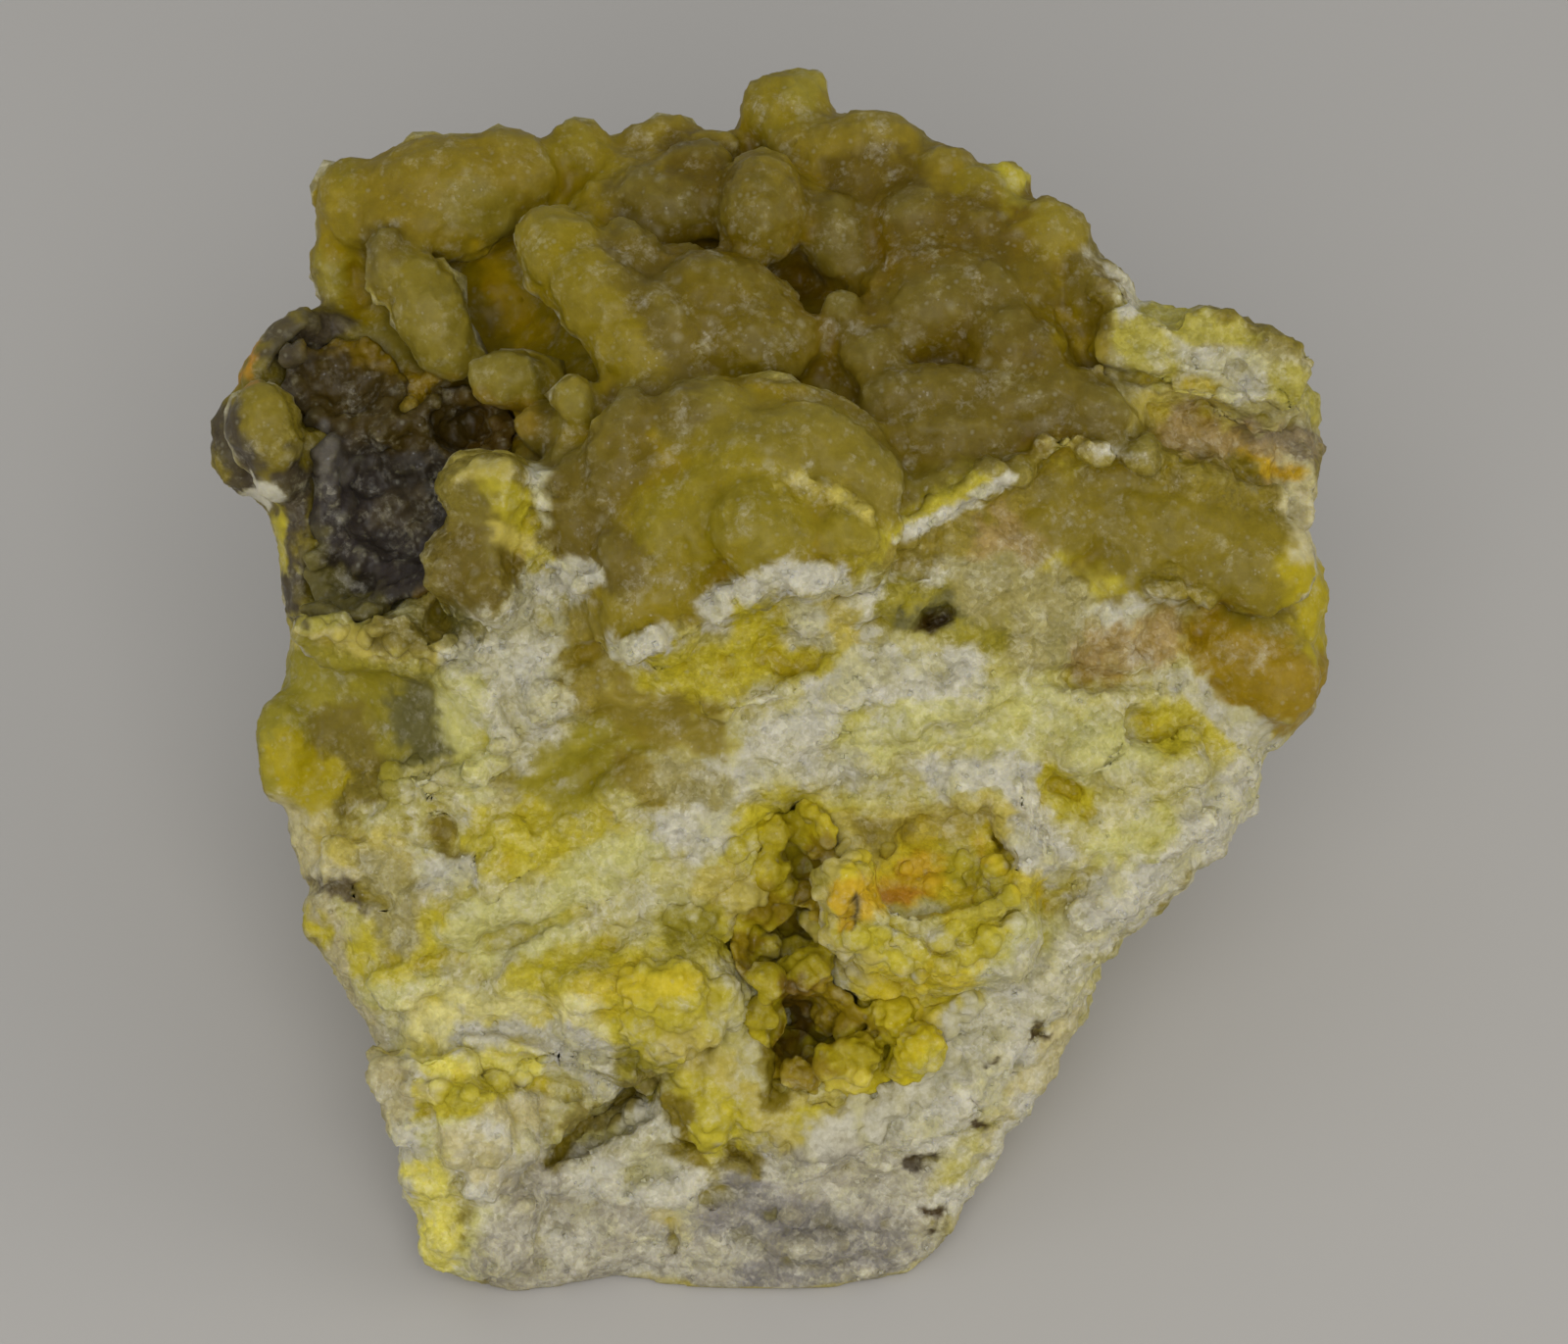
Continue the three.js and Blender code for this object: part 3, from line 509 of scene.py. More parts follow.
def growLobes(rock):
    tree = treeOf(rock)
    remesh(rock, rockPlan["voxel"] * rockPlan["firstVoxel"])
    x, y = frameSpots(coordsOf(rock))
    facing = smoothStep(-0.1, 0.4, facingOf(rock))
    inBed = smoothStep(*rockPlan["bedEdge"], insideDepth(x, y, bedOutline))
    moveAlong(rock, -rockPlan["bedSink"] * mm * facing * inBed, outward)
    carve(rock, rockPlan["bays"])
    lumps = [addFinger(tree, lobe[:2], lobe[2:4], *lobe[4:6]) for lobe in rockPlan["lobes"]]
    for x, y, *halves, lift, turn in rockPlan["lowSwells"]:
        lumps.append(addLump(tree, x, y, halves, lift - lumpPlan["swellSink"] * halves[2], turn))
    joinInto(rock, lumps)
    remesh(rock, rockPlan["voxel"])


# Fills the sharp creases between the lobes and leaves their crests alone.
def softenCrevices(rock):
    for _ in range(2):
        x, y = frameSpots(coordsOf(rock))
        proud, broad = proudness(rock, rockPlan["creviceSpread"])
        inBed = smoothStep(-30, 0, insideDepth(x, y, bedOutline))
        setGroup(rock, "crevices", smoothStep(-0.02, 0.25, -proud) * inBed)
        soften(rock, rockPlan["creviceRounds"], "crevices")
        rock.vertex_groups.remove(rock.vertex_groups["crevices"])
    soften(rock, rockPlan["softRounds"][0])


def setBlocks(rock):
    tree = treeOf(rock)
    blocks = []
    for index, (x, y, *halves, lift, turn) in enumerate(rockPlan["flakes"] + rockPlan["blocks"]):
        lift -= lumpPlan["blockSink"]
        blocks.append(addLump(tree, x, y, halves, lift, turn, blocky=True, seed=index))
    joinInto(rock, blocks)
    remesh(rock, rockPlan["voxel"])
    carve(rock, rockPlan["ledges"])
    carve(rock, rockPlan["dents"])
    soften(rock, rockPlan["softRounds"][1])


def roughenSkin(rock):
    x, y = frameSpots(coordsOf(rock))
    broadFacing = smoothedCopy(rock, rockPlan["broadRounds"])[1] @ np.array(outward)
    waxy = waxyShare(x, y, broadFacing)
    clear = smoothStep(*rockPlan["footGap"], coordsOf(rock)[:, 2] / mm)
    setGroup(rock, "waxy", waxy * clear)
    setGroup(rock, "broken", (1 - waxy) * clear)
    for relief in rockPlan["relief"]:
        roughen(rock, *relief)
    turnedAway, kept = rockPlan["backFaces"]
    coarsen(rock, broadFacing < turnedAway, kept)
    x, y = frameSpots(coordsOf(rock))
    depth, kept = rockPlan["bedFaces"]
    coarsen(rock, (insideDepth(x, y, bedOutline) > depth) & (facingOf(rock) > -0.1), kept)


def buildRock():
    print("rock: lobes of the growth bed")
    rock = copyOfNode("smithsonite_block", "smithsoniteBody")
    growLobes(rock)
    softenCrevices(rock)
    print("rock: flakes and blocks")
    setBlocks(rock)
    print("rock: rough break and drusy skin")
    roughenSkin(rock)
    reportTriangles("rock", rock)
    return rock


# The vug's mouth, and where straw-yellow knobs grow below and left of it.
vugOutline = [
    (790, 832), (845, 835), (866, 890), (858, 950), (880, 990), (925, 1010), (968, 1050), (950, 1095),
    (905, 1130), (850, 1150), (790, 1120), (758, 1060), (745, 1000), (770, 950), (768, 890),
]
knobField = [(640, 1000), (760, 985), (790, 1120), (900, 1140), (860, 1170), (740, 1170), (660, 1130)]
knobPlan = {
    "voxel": 0.26,
    "seed": 7,
    "rimKnobs": 120,
    "rimSizes": (0.6, 1.5),
    "rimStray": 10,  # frame units
    "fieldKnobs": 56,
    "fieldSizes": (1.0, 2.3),
    "fieldBox": ((640, 900), (985, 1175)),
    "largeFrom": 1.35,
    "largeSink": 0.1,  # of its radius
    "smallSink": 0.35,
    # knobs with a place of their own in the frame, radius in millimetres
    "knobs": [
        (762, 910, 2.0), (746, 916, 1.5), (712, 938, 1.9), (735, 944, 1.7), (752, 946, 1.2), (690, 936, 1.4),
        (870, 990, 0.9), (882, 998, 1.0), (890, 1008, 1.0), (922, 1030, 2.6), (942, 1082, 2.6),
        (905, 1055, 1.6), (985, 1022, 1.9), (965, 1045, 1.5), (968, 1078, 1.5), (660, 1008, 2.8),
        (688, 1012, 1.9), (680, 1058, 2.6), (650, 1045, 2.2), (735, 1022, 1.4), (750, 1018, 1.0),
        (745, 1050, 1.8), (718, 1050, 2.0), (760, 1078, 1.6), (770, 1096, 1.4), (728, 1088, 2.2),
        (748, 1104, 1.6), (700, 1098, 1.8), (690, 1118, 1.8), (768, 1116, 1.4), (725, 1160, 1.6),
        (738, 1148, 1.0), (650, 1135, 1.5), (632, 1150, 1.3), (800, 1148, 1.6), (825, 1156, 1.3),
        (860, 1150, 1.3), (885, 1140, 1.2), (780, 1134, 1.4), (925, 885, 1.0), (985, 880, 1.3),
        (1015, 885, 1.4), (1005, 945, 1.3), (975, 945, 1.1), (1035, 945, 1.3), (880, 875, 1.0),
        (848, 885, 1.0), (838, 910, 1.0), (826, 938, 1.1), (890, 972, 1.2), (920, 985, 1.2), (940, 992, 1.1),
        (905, 865, 1.0), (950, 905, 1.3), (962, 897, 1.1), (978, 905, 1.0), (1004, 918, 1.1), (930, 945, 1.0),
        (900, 952, 1.0), (960, 960, 1.4), (1010, 960, 1.6), (985, 975, 1.3), (860, 960, 1.0), (845, 955, 1.1),
        (835, 945, 1.2), (1030, 915, 1.2), (450, 1112, 1.3), (480, 1118, 1.1), (505, 1105, 1.4),
        (530, 1098, 1.2), (400, 790, 1.4), (425, 782, 1.3), (415, 808, 1.2), (440, 800, 1.0), (320, 640, 1.2),
        (345, 644, 1.1), (375, 650, 1.2), (405, 655, 1.3), (430, 660, 1.2), (470, 655, 1.2), (448, 668, 1.1),
    ],
}


# Small rounded crystal clusters on the rock: the named knobs and more along the vug's mouth and in the field.
def buildKnobs(rock):
    print("knobs: crystal clusters round the vug and along the ledges")
    tree = treeOf(rock)
    large, small = makeCluster("crystalKnobs", 30, 0.27), makeCluster("smallKnob", 11, 0.45)
    dice = random.Random(knobPlan["seed"])
    spots = list(knobPlan["knobs"])
    sides = list(zip(vugOutline, vugOutline[1:] + vugOutline[:1]))
    for _ in range(knobPlan["rimKnobs"]):
        (ax, ay), (bx, by) = dice.choice(sides)
        share = dice.random()
        x = ax + share * (bx - ax) + dice.gauss(0, knobPlan["rimStray"])
        y = ay + share * (by - ay) + dice.gauss(0, knobPlan["rimStray"])
        spots.append((x, y, dice.uniform(*knobPlan["rimSizes"])))
    wanted = len(spots) + knobPlan["fieldKnobs"]
    while len(spots) < wanted:
        x, y = [dice.uniform(*span) for span in knobPlan["fieldBox"]]
        if isInside(x, y, knobField) and not isInside(x, y, vugOutline):
            spots.append((x, y, dice.uniform(*knobPlan["fieldSizes"])))
    parts = []
    for x, y, radius in spots:
        source, sink = small, knobPlan["smallSink"]
        if radius > knobPlan["largeFrom"]:
            source, sink = large, knobPlan["largeSink"]
        spot = seatOn(tree, x, y) - outward * sink * radius * mm
        parts.append(placeCopy(source, spot, [radius * mm] * 3, randomSpin(dice)))
    knobs = parts.pop()
    bpy.data.objects.remove(large)
    bpy.data.objects.remove(small)
    joinInto(knobs, parts)
    knobs.name = "crystalKnobs"
    remesh(knobs, knobPlan["voxel"])
    soften(knobs, 1)
    reportTriangles("knobs", knobs)
    return knobs


grainPlan = {
    "perSquareMm": 0.3,
    "box": (1.6 * mm, 1.6 * mm, 1.2 * mm),
    "scales": (0.12, 0.3),
    "seeds": (31, 3, 5),  # of the places, the sizes and the turns
    "fullTurn": (6.28, 6.28, 6.28),
}


# Small sugar crystals strewn over the break. Each takes the colour of the spot where it grows.
def buildGrains(rock):
    print("grains: small sugar crystals on the break")
    grains = newObject("sugarGrains", rock.data.copy())
    tree = bpy.data.node_groups.new("spreadGrains", "GeometryNodeTree")
    tree.interface.new_socket(name="Geometry", in_out="INPUT", socket_type="NodeSocketGeometry")
    tree.interface.new_socket(name="Geometry", in_out="OUTPUT", socket_type="NodeSocketGeometry")
    given, result = tree.nodes.new("NodeGroupInput"), tree.nodes.new("NodeGroupOutput")
    placeSeed, sizeSeed, turnSeed = grainPlan["seeds"]
    share = addNode(tree, "GeometryNodeInputNamedAttribute", {"Name": "grainShare"}, data_type="FLOAT")
    density = mathOf(tree, "MULTIPLY", share.outputs["Attribute"], grainPlan["perSquareMm"] / mm ** 2)
    spreading = {"Mesh": given.outputs[0], "Density": density, "Seed": placeSeed}
    points = addNode(tree, "GeometryNodeDistributePointsOnFaces", spreading, distribute_method="RANDOM")
    grain = addNode(tree, "GeometryNodeMeshCube", {"Size": grainPlan["box"]}).outputs["Mesh"]
    least, most = grainPlan["scales"]
    size = addNode(tree, "FunctionNodeRandomValue", {2: least, 3: most, "Seed": sizeSeed}, data_type="FLOAT")
    turns = {0: (0, 0, 0), 1: grainPlan["fullTurn"], "Seed": turnSeed}
    spin = addNode(tree, "FunctionNodeRandomValue", turns, data_type="FLOAT_VECTOR")
    turned = addNode(tree, "FunctionNodeEulerToRotation", {0: spin.outputs[0]})
    placed = addNode(tree, "GeometryNodeInstanceOnPoints", {
        "Points": points.outputs["Points"], "Instance": grain,
        "Rotation": turned.outputs[0], "Scale": size.outputs[1]})
    whole = addNode(tree, "GeometryNodeRealizeInstances", {"Geometry": placed.outputs[0]})
    tree.links.new(whole.outputs[0], result.inputs[0])
    applyModifier(grains, "NODES", node_group=tree)
    reportTriangles("grains", grains)
    return grains


# Red, green and blue (0 to 255), and how much white sugar lies on them. Most are the crystals' own colours as
# they look in plain light; the gap, recess and vug-chamber finishes are painted glow and shade, the pit and
# crack finishes painted shade, and the bright bed finish partly painted light.
finishes = {
    "bedGold": (128, 111, 10, 0.0), "bedWarm": (126, 107, 18, 0.0), "bedPale": (123, 108, 26, 0.0),
    "bedMid": (104, 87, 6, 0.0), "bedDark": (96, 78, 4, 0.0), "bedGrey": (102, 86, 18, 0.0),
    "bedLitFront": (130, 115, 14, 0.0), "bedLemon": (140, 126, 34, 0.0), "gapShadeGlow": (108, 86, 0, 0.0),
    "gapPaintedGlow": (134, 114, 0, 0.0), "recessPaintedGlow": (160, 134, 4, 0.0), "brownOlive": (132, 116, 36, 0.0),
    "greyBand": (126, 110, 78, 0.0), "olive": (116, 102, 28, 0.0), "olivePale": (120, 106, 38, 0.0),
    "oliveGold": (122, 106, 20, 0.0), "hollowPaintedGlow": (128, 102, 2, 0.0), "lemon": (168, 154, 34, 0.1),
    "limeGold": (176, 162, 40, 0.15), "straw": (176, 160, 72, 0.2), "lime": (184, 178, 104, 0.4),
    "sugar": (170, 162, 116, 0.85), "chalk": (176, 168, 136, 1.15), "limeOlive": (139, 128, 32, 0.05),
    "edgeLemon": (160, 143, 10, 0.0), "mouthShadeOlive": (138, 124, 18, 0.0), "crackShadeOlive": (126, 113, 52, 0.0),
    "pitShadeBrown": (92, 80, 56, 0.1), "halfSugar": (174, 164, 86, 0.52), "toeLemon": (208, 196, 84, 0.3),
    "toeShelf": (210, 200, 128, 0.3), "cornerPale": (148, 137, 80, 0.25), "cornerLime": (164, 153, 62, 0.2),
    "cream": (182, 170, 120, 0.35), "amber": (138, 112, 8, 0.0), "gold": (188, 168, 34, 0.05),
    "orange": (188, 152, 26, 0.0), "rust": (178, 126, 26, 0.0), "matrix": (150, 142, 122, 0.62),
    "slate": (126, 120, 112, 0.3), "umber": (66, 50, 22, 0.0), "blush": (152, 128, 72, 0.25),
    "moss": (98, 92, 44, 0.0), "druseGrey": (72, 62, 44, 0.0), "sideCream": (166, 154, 108, 0.45),
    "vugGold": (178, 160, 20, 0.0), "vugOliveShade": (156, 140, 18, 0.0), "vugShade": (136, 114, 12, 0.0),
    "vugDeepShade": (112, 86, 12, 0.0), "vugPale": (192, 174, 58, 0.05), "druseDark": (50, 43, 33, 0.0),
    "druseBrown": (64, 50, 12, 0.0), "druseBlack": (78, 58, 10, 0.0), "druseOlive": (94, 86, 40, 0.0),
    "drusePale": (88, 82, 74, 0.0), "druseViolet": (56, 49, 44, 0.0),
}

# Strokes over the face, in the order they are laid: finish, radius, then x and y of each place along it.
rockPaint = [
    ("olive", 2000, 800, 400),
    # broken front, below the growth bed
    ("halfSugar", 150, 420, 760, 640, 800, 900, 740, 1200, 740),
    ("halfSugar", 170, 480, 960, 700, 1000, 1000, 960), ("halfSugar", 120, 480, 1120, 700, 1180, 960, 1120),
    ("sugar", 36, 500, 600, 560, 690), ("brownOlive", 24, 596, 640, 604, 715),
    ("sugar", 34, 470, 650, 560, 780, 500, 860), ("limeGold", 36, 510, 850, 570, 810),
    ("limeOlive", 36, 585, 788, 650, 745), ("lemon", 30, 670, 700, 830, 655),
    ("lemon", 18, 740, 695, 765, 680), ("brownOlive", 26, 640, 725, 720, 750),
    ("limeOlive", 28, 550, 805, 600, 792), ("limeGold", 20, 530, 830, 500, 812),
    ("brownOlive", 18, 640, 790, 664, 800), ("chalk", 28, 590, 950, 700, 850, 850, 730, 970, 690),
    ("sugar", 22, 720, 800, 860, 780), ("chalk", 16, 420, 905, 470, 880),
    ("limeGold", 30, 500, 870, 600, 850), ("lime", 32, 400, 1000, 560, 930, 650, 880),
    ("limeGold", 34, 390, 970, 450, 955), ("halfSugar", 24, 480, 1000, 600, 960, 700, 900),
    ("lime", 24, 480, 948, 560, 950), ("limeGold", 42, 560, 1010, 700, 1010),
    ("gold", 22, 600, 1015, 690, 1010), ("limeGold", 30, 650, 1050, 690, 1060),
    ("toeShelf", 26, 440, 1040, 590, 1050), ("chalk", 20, 480, 1060, 560, 1064, 640, 1098),
    ("toeLemon", 30, 410, 1104, 530, 1100), ("gold", 12, 420, 1130, 470, 1120),
    ("cream", 26, 400, 1140, 540, 1130), ("limeGold", 16, 430, 1140, 500, 1110),
    ("lime", 20, 410, 1170, 470, 1160), ("chalk", 32, 490, 1180, 530, 1230),
    ("cream", 18, 470, 1170, 510, 1190), ("chalk", 14, 405, 1100, 415, 1180, 425, 1280),
    ("toeLemon", 18, 438, 1200, 446, 1300), ("toeLemon", 18, 455, 1300, 470, 1290),
    ("lime", 16, 500, 1240, 480, 1290), ("limeGold", 44, 810, 850, 870, 870),
    # Olive over the vug's mouth, darker on its upper left as painted shade.
    ("mouthShadeOlive", 34, 802, 850, 808, 930), ("mouthShadeOlive", 20, 752, 935, 784, 985),
    ("limeGold", 30, 780, 850, 740, 940), ("straw", 22, 735, 905, 780, 930),
    ("straw", 30, 700, 1080, 780, 1160), ("limeGold", 20, 700, 1110, 760, 1160),
    # The last stroke here, olive at the vug's lower edge, is painted shade of the hole below it.
    ("straw", 30, 820, 1140, 900, 1120), ("oliveGold", 16, 788, 1060, 794, 1112),
    ("limeOlive", 18, 690, 950, 720, 945), ("limeOlive", 20, 645, 1092, 668, 1108),
    ("limeGold", 18, 830, 1146, 870, 1152), ("limeGold", 24, 970, 1020, 990, 1080),
    ("gold", 30, 905, 1015, 955, 1090), ("sugar", 22, 640, 1130, 720, 1170),
    ("straw", 32, 860, 860, 1040, 850), ("brownOlive", 16, 890, 850, 912, 855),
    ("gold", 26, 880, 900, 1030, 880), ("gold", 22, 950, 900, 1020, 900), ("orange", 16, 870, 920, 950, 900),
    ("rust", 5, 900, 914, 925, 910), ("orange", 12, 940, 890, 1000, 880), ("lemon", 22, 980, 880, 1040, 940),
    ("gold", 14, 965, 915, 985, 930), ("gold", 16, 1044, 890, 1052, 912),
    ("limeGold", 15, 840, 940, 960, 985), ("gold", 18, 960, 990, 1010, 1002),
    ("limeGold", 30, 990, 960, 1040, 950),
    ("straw", 9, 858, 872, 846, 892, 834, 920, 822, 946, 842, 966, 880, 988),
    # The small umber stroke here lies in a carved pit: painted shade in it.
    ("umber", 4, 865, 938, 868, 928), ("orange", 8, 848, 905, 856, 935), ("chalk", 20, 1040, 800, 1065, 872),
    ("lime", 30, 1000, 745, 1060, 725), ("chalk", 18, 960, 790, 1040, 790),
    ("lime", 34, 1120, 760, 1200, 790), ("lime", 24, 880, 742, 1010, 735), ("chalk", 12, 835, 702, 872, 694),
    ("limeGold", 26, 1190, 740, 1250, 750), ("halfSugar", 30, 1100, 830, 1250, 800),
    ("limeGold", 14, 1070, 800, 1100, 820), ("chalk", 32, 1120, 930, 1200, 872, 1270, 815),
    ("lime", 16, 1130, 870, 1190, 840), ("lime", 30, 1060, 960, 1000, 1060),
    ("sugar", 20, 1100, 960, 1060, 1040), ("chalk", 44, 860, 1190, 1060, 1040),
    ("sugar", 30, 900, 1130, 1080, 990), ("cream", 14, 985, 1235, 1050, 1120, 1090, 1045),
    ("chalk", 9, 935, 1245, 990, 1215, 1050, 1130), ("matrix", 50, 560, 1215, 700, 1230, 900, 1210),
    ("matrix", 40, 520, 1280, 760, 1300, 920, 1280), ("slate", 26, 780, 1240, 900, 1270),
    ("slate", 15, 760, 1210, 800, 1230), ("slate", 20, 730, 1245, 790, 1258),
    ("slate", 13, 745, 1298, 850, 1302), ("cornerPale", 18, 690, 1188, 722, 1198),
    # The crack strokes here lie along carved cracks: painted shade inside them.
    ("chalk", 22, 610, 1200, 690, 1210), ("crackShadeOlive", 6, 562, 1188, 600, 1140, 664, 1104),
    ("crackShadeOlive", 6, 744, 1172, 770, 1190), ("oliveGold", 16, 690, 1130, 710, 1165),
    # The umber strokes here and the small grey one lie in carved pits: painted shade in them.
    ("limeGold", 12, 722, 1150, 728, 1164), ("umber", 4, 684, 1242, 688, 1262),
    ("umber", 3, 1058, 1050, 1062, 1060), ("umber", 3, 1002, 1144, 1004, 1148),
    ("druseGrey", 5, 930, 1186, 950, 1182), ("umber", 2, 1015, 1085, 1022, 1078),
    ("umber", 3, 945, 1246, 958, 1240), ("cream", 12, 680, 1240, 690, 1275),
    ("matrix", 26, 600, 1260, 720, 1300), ("cream", 34, 290, 850, 400, 900),
    # The brown and umber strokes here lie in carved pits: painted shade in them.
    ("pitShadeBrown", 13, 330, 905, 372, 916), ("umber", 5, 372, 912, 385, 916),
    ("olivePale", 12, 450, 845, 462, 878), ("chalk", 12, 400, 888, 470, 890),
    ("straw", 18, 340, 848, 400, 880), ("cornerPale", 22, 392, 892, 410, 950),
    ("cornerPale", 18, 488, 792, 512, 808), ("cornerPale", 20, 690, 795, 716, 802),
    ("sideCream", 12, 285, 850, 330, 960, 410, 1130), ("lemon", 6, 285, 870, 320, 955),
    # ridge between bed and break
    ("cornerPale", 28, 960, 600, 1100, 560, 1140, 620), ("limeGold", 22, 1080, 590, 1160, 600),
    ("chalk", 13, 1040, 634, 1200, 612), ("sugar", 20, 820, 640, 960, 600), ("sugar", 18, 880, 682, 950, 684),
    ("limeOlive", 20, 990, 640, 1030, 655), ("cornerPale", 26, 1050, 655, 1110, 660),
    # The moss and umber strokes here fill a carved crack: painted shade inside it.
    ("limeOlive", 20, 915, 618, 1000, 628), ("moss", 8, 925, 630, 985, 620), ("umber", 7, 945, 638, 962, 632),
    ("limeGold", 20, 880, 560, 1010, 500), ("blush", 28, 1010, 540, 1050, 545),
    ("brownOlive", 22, 930, 566, 1010, 525, 1060, 510), ("blush", 18, 1016, 540, 1050, 546),
    ("blush", 24, 1180, 650, 1120, 672), ("cornerPale", 26, 1000, 600, 1090, 610),
    ("straw", 14, 848, 612, 862, 644), ("bedPale", 16, 1060, 450, 1120, 456),
    ("straw", 7, 1070, 452, 1120, 456), ("chalk", 6, 1120, 462, 1165, 465), ("chalk", 5, 922, 546, 1034, 486),
    ("chalk", 11, 1180, 600, 1240, 608), ("straw", 16, 1110, 480, 1200, 500),
    ("limeGold", 12, 1090, 480, 1230, 495), ("amber", 46, 1270, 680, 1310, 700),
    ("oliveGold", 58, 1110, 520, 1300, 600), ("oliveGold", 18, 1200, 540, 1310, 560),
    ("edgeLemon", 24, 1335, 580, 1350, 640), ("amber", 30, 1240, 650, 1310, 690),
    ("sugar", 12, 1215, 700, 1290, 760),
    # right corner
    ("cornerPale", 46, 1130, 350, 1330, 410), ("sugar", 14, 1200, 352, 1250, 376),
    ("cornerLime", 12, 1135, 295, 1200, 322), ("cornerLime", 13, 1310, 390, 1345, 410),
    ("sugar", 20, 1215, 372, 1270, 385), ("cornerLime", 20, 1150, 332, 1185, 372),
    ("chalk", 10, 1115, 270, 1162, 305), ("cornerLime", 9, 1215, 330, 1260, 338),
    ("straw", 16, 1170, 410, 1240, 420), ("greyBand", 12, 1255, 444, 1338, 456),
    ("orange", 6, 1260, 450, 1300, 468), ("blush", 20, 1210, 440, 1300, 478),
    ("cream", 18, 1320, 480, 1342, 560), ("orange", 5, 1270, 470, 1320, 475),
    ("oliveGold", 30, 1150, 490, 1270, 500),
    # left block and pillar
    ("limeOlive", 74, 300, 700, 400, 740), ("olive", 30, 350, 745, 356, 800),
    ("moss", 30, 428, 724, 455, 778), ("limeOlive", 16, 275, 740, 272, 790),
    ("edgeLemon", 24, 288, 770, 320, 800), ("straw", 15, 300, 640, 440, 655),
    ("cornerLime", 8, 300, 630, 370, 632), ("olivePale", 14, 392, 645, 430, 655),
    ("halfSugar", 16, 430, 800, 480, 780), ("lime", 18, 468, 700, 490, 800),
    ("olivePale", 40, 480, 560, 470, 610), ("moss", 26, 478, 590, 476, 620),
    ("lemon", 13, 505, 495, 535, 530), ("straw", 9, 478, 480, 510, 476), ("sugar", 11, 552, 488, 562, 516),
    ("straw", 9, 510, 545, 535, 565), ("limeGold", 16, 550, 580, 560, 600), ("sugar", 18, 500, 620, 570, 600),
    # growth bed: painted glow and shade deep in the gaps, with each lobe paler
    ("gapPaintedGlow", 90, 400, 200, 560, 220), ("gapPaintedGlow", 60, 640, 160, 860, 130),
    ("gapPaintedGlow", 110, 620, 330, 760, 480), ("gapShadeGlow", 110, 760, 240, 1000, 330),
    ("gapShadeGlow", 60, 900, 190, 1040, 230), ("gapShadeGlow", 44, 940, 420, 1090, 410),
    ("gapShadeGlow", 40, 700, 230, 740, 250), ("gapPaintedGlow", 60, 680, 540, 840, 520),
    ("gapPaintedGlow", 44, 505, 290, 560, 340), ("gapPaintedGlow", 26, 352, 270, 372, 300),
    ("gapPaintedGlow", 30, 1095, 300, 1095, 360), ("gapPaintedGlow", 40, 650, 600, 720, 590),
    # Each lobe in its own finish; the dome's front lobes take the bright one, partly painted light.
    *[(lobe[6], lobe[4] * rockPlan["lobePaint"], *lobe[:4]) for lobe in rockPlan["lobes"]],
    # Painted glow: the deep recess behind the fingers is painted brighter to make up for its shade, and a
    # small gap at the left glows too.
    ("recessPaintedGlow", 15, 510, 300, 545, 334), ("recessPaintedGlow", 8, 502, 262, 500, 290),
    ("gapPaintedGlow", 12, 330, 190, 340, 250), ("straw", 4, 806, 492, 830, 500), ("straw", 3, 850, 500, 884, 524),
    ("chalk", 13, 725, 622, 790, 592), ("chalk", 13, 815, 590, 850, 592),
    ("limeGold", 8, 1022, 168, 1045, 180), ("chalk", 12, 640, 662, 672, 652),
    ("chalk", 12, 575, 590, 608, 588), ("lemon", 12, 760, 632, 775, 638),
    # rim round the grey hollow
    ("druseGrey", 20, 290, 345, 330, 330), ("rust", 4, 252, 385, 260, 365),
    ("bedPale", 30, 262, 420, 280, 450), ("druseGrey", 18, 228, 430, 250, 490),
    # The first stroke here is painted glow in the dark recess left of the finger.
    ("hollowPaintedGlow", 22, 415, 400, 520, 430), ("chalk", 8, 262, 500, 276, 508),
    ("druseGrey", 16, 302, 485, 306, 530), ("druseGrey", 22, 285, 560, 290, 610),
    ("limeGold", 8, 282, 540, 286, 575),
]

# How strokes wander and fade. Sizes are in millimetres, reaches in frame units.
paintPlan = {
    "swell": (3.0, 15),  # size and reach of the coarse wander of a stroke's edge
    "ripple": (1.1, 9),
    "ragged": (0.8, 2.2),
    "core": 0.4,  # share of a stroke's radius that it covers whole
    "fade": (1.55, 7),
    "proudRounds": 50,
    "plainSugar": 0.4,  # how sugary a piece is that has no waxy part
}
# The sides that are turned away: a base with patches and stains in it.
sidePlan = {
    "facing": (-0.35, -0.05),
    "base": "sideCream",
    "patch": "straw",
    "patchSize": 11,
    "patchSugar": 0.35,
    "stain": "matrix",
    "stainSize": 8,
}


def linear(colour):
    share = np.array(colour, float) / 255
    return np.where(share <= 0.04045, share / 12.92, ((share + 0.055) / 1.055) ** 2.4)


def strokeDistance(x, y, places):
    if len(places) == 1:
        return np.hypot(x - places[0][0], y - places[0][1])
    return np.min([lineDistance(x, y, a, b) for a, b in zip(places, places[1:])], axis=0)


def storeValues(piece, name, values):
    layer = piece.data.attributes.new(name, "FLOAT", "POINT")
    layer.data.foreach_set("value", values.astype(np.float32))


def storeColours(piece, name, colours):
    layer = piece.data.attributes.new(name, "FLOAT_COLOR", "POINT")
    full = np.concatenate([np.clip(colours, 0, 1), np.ones((len(colours), 1))], axis=1)
    layer.data.foreach_set("color", full.astype(np.float32).ravel())


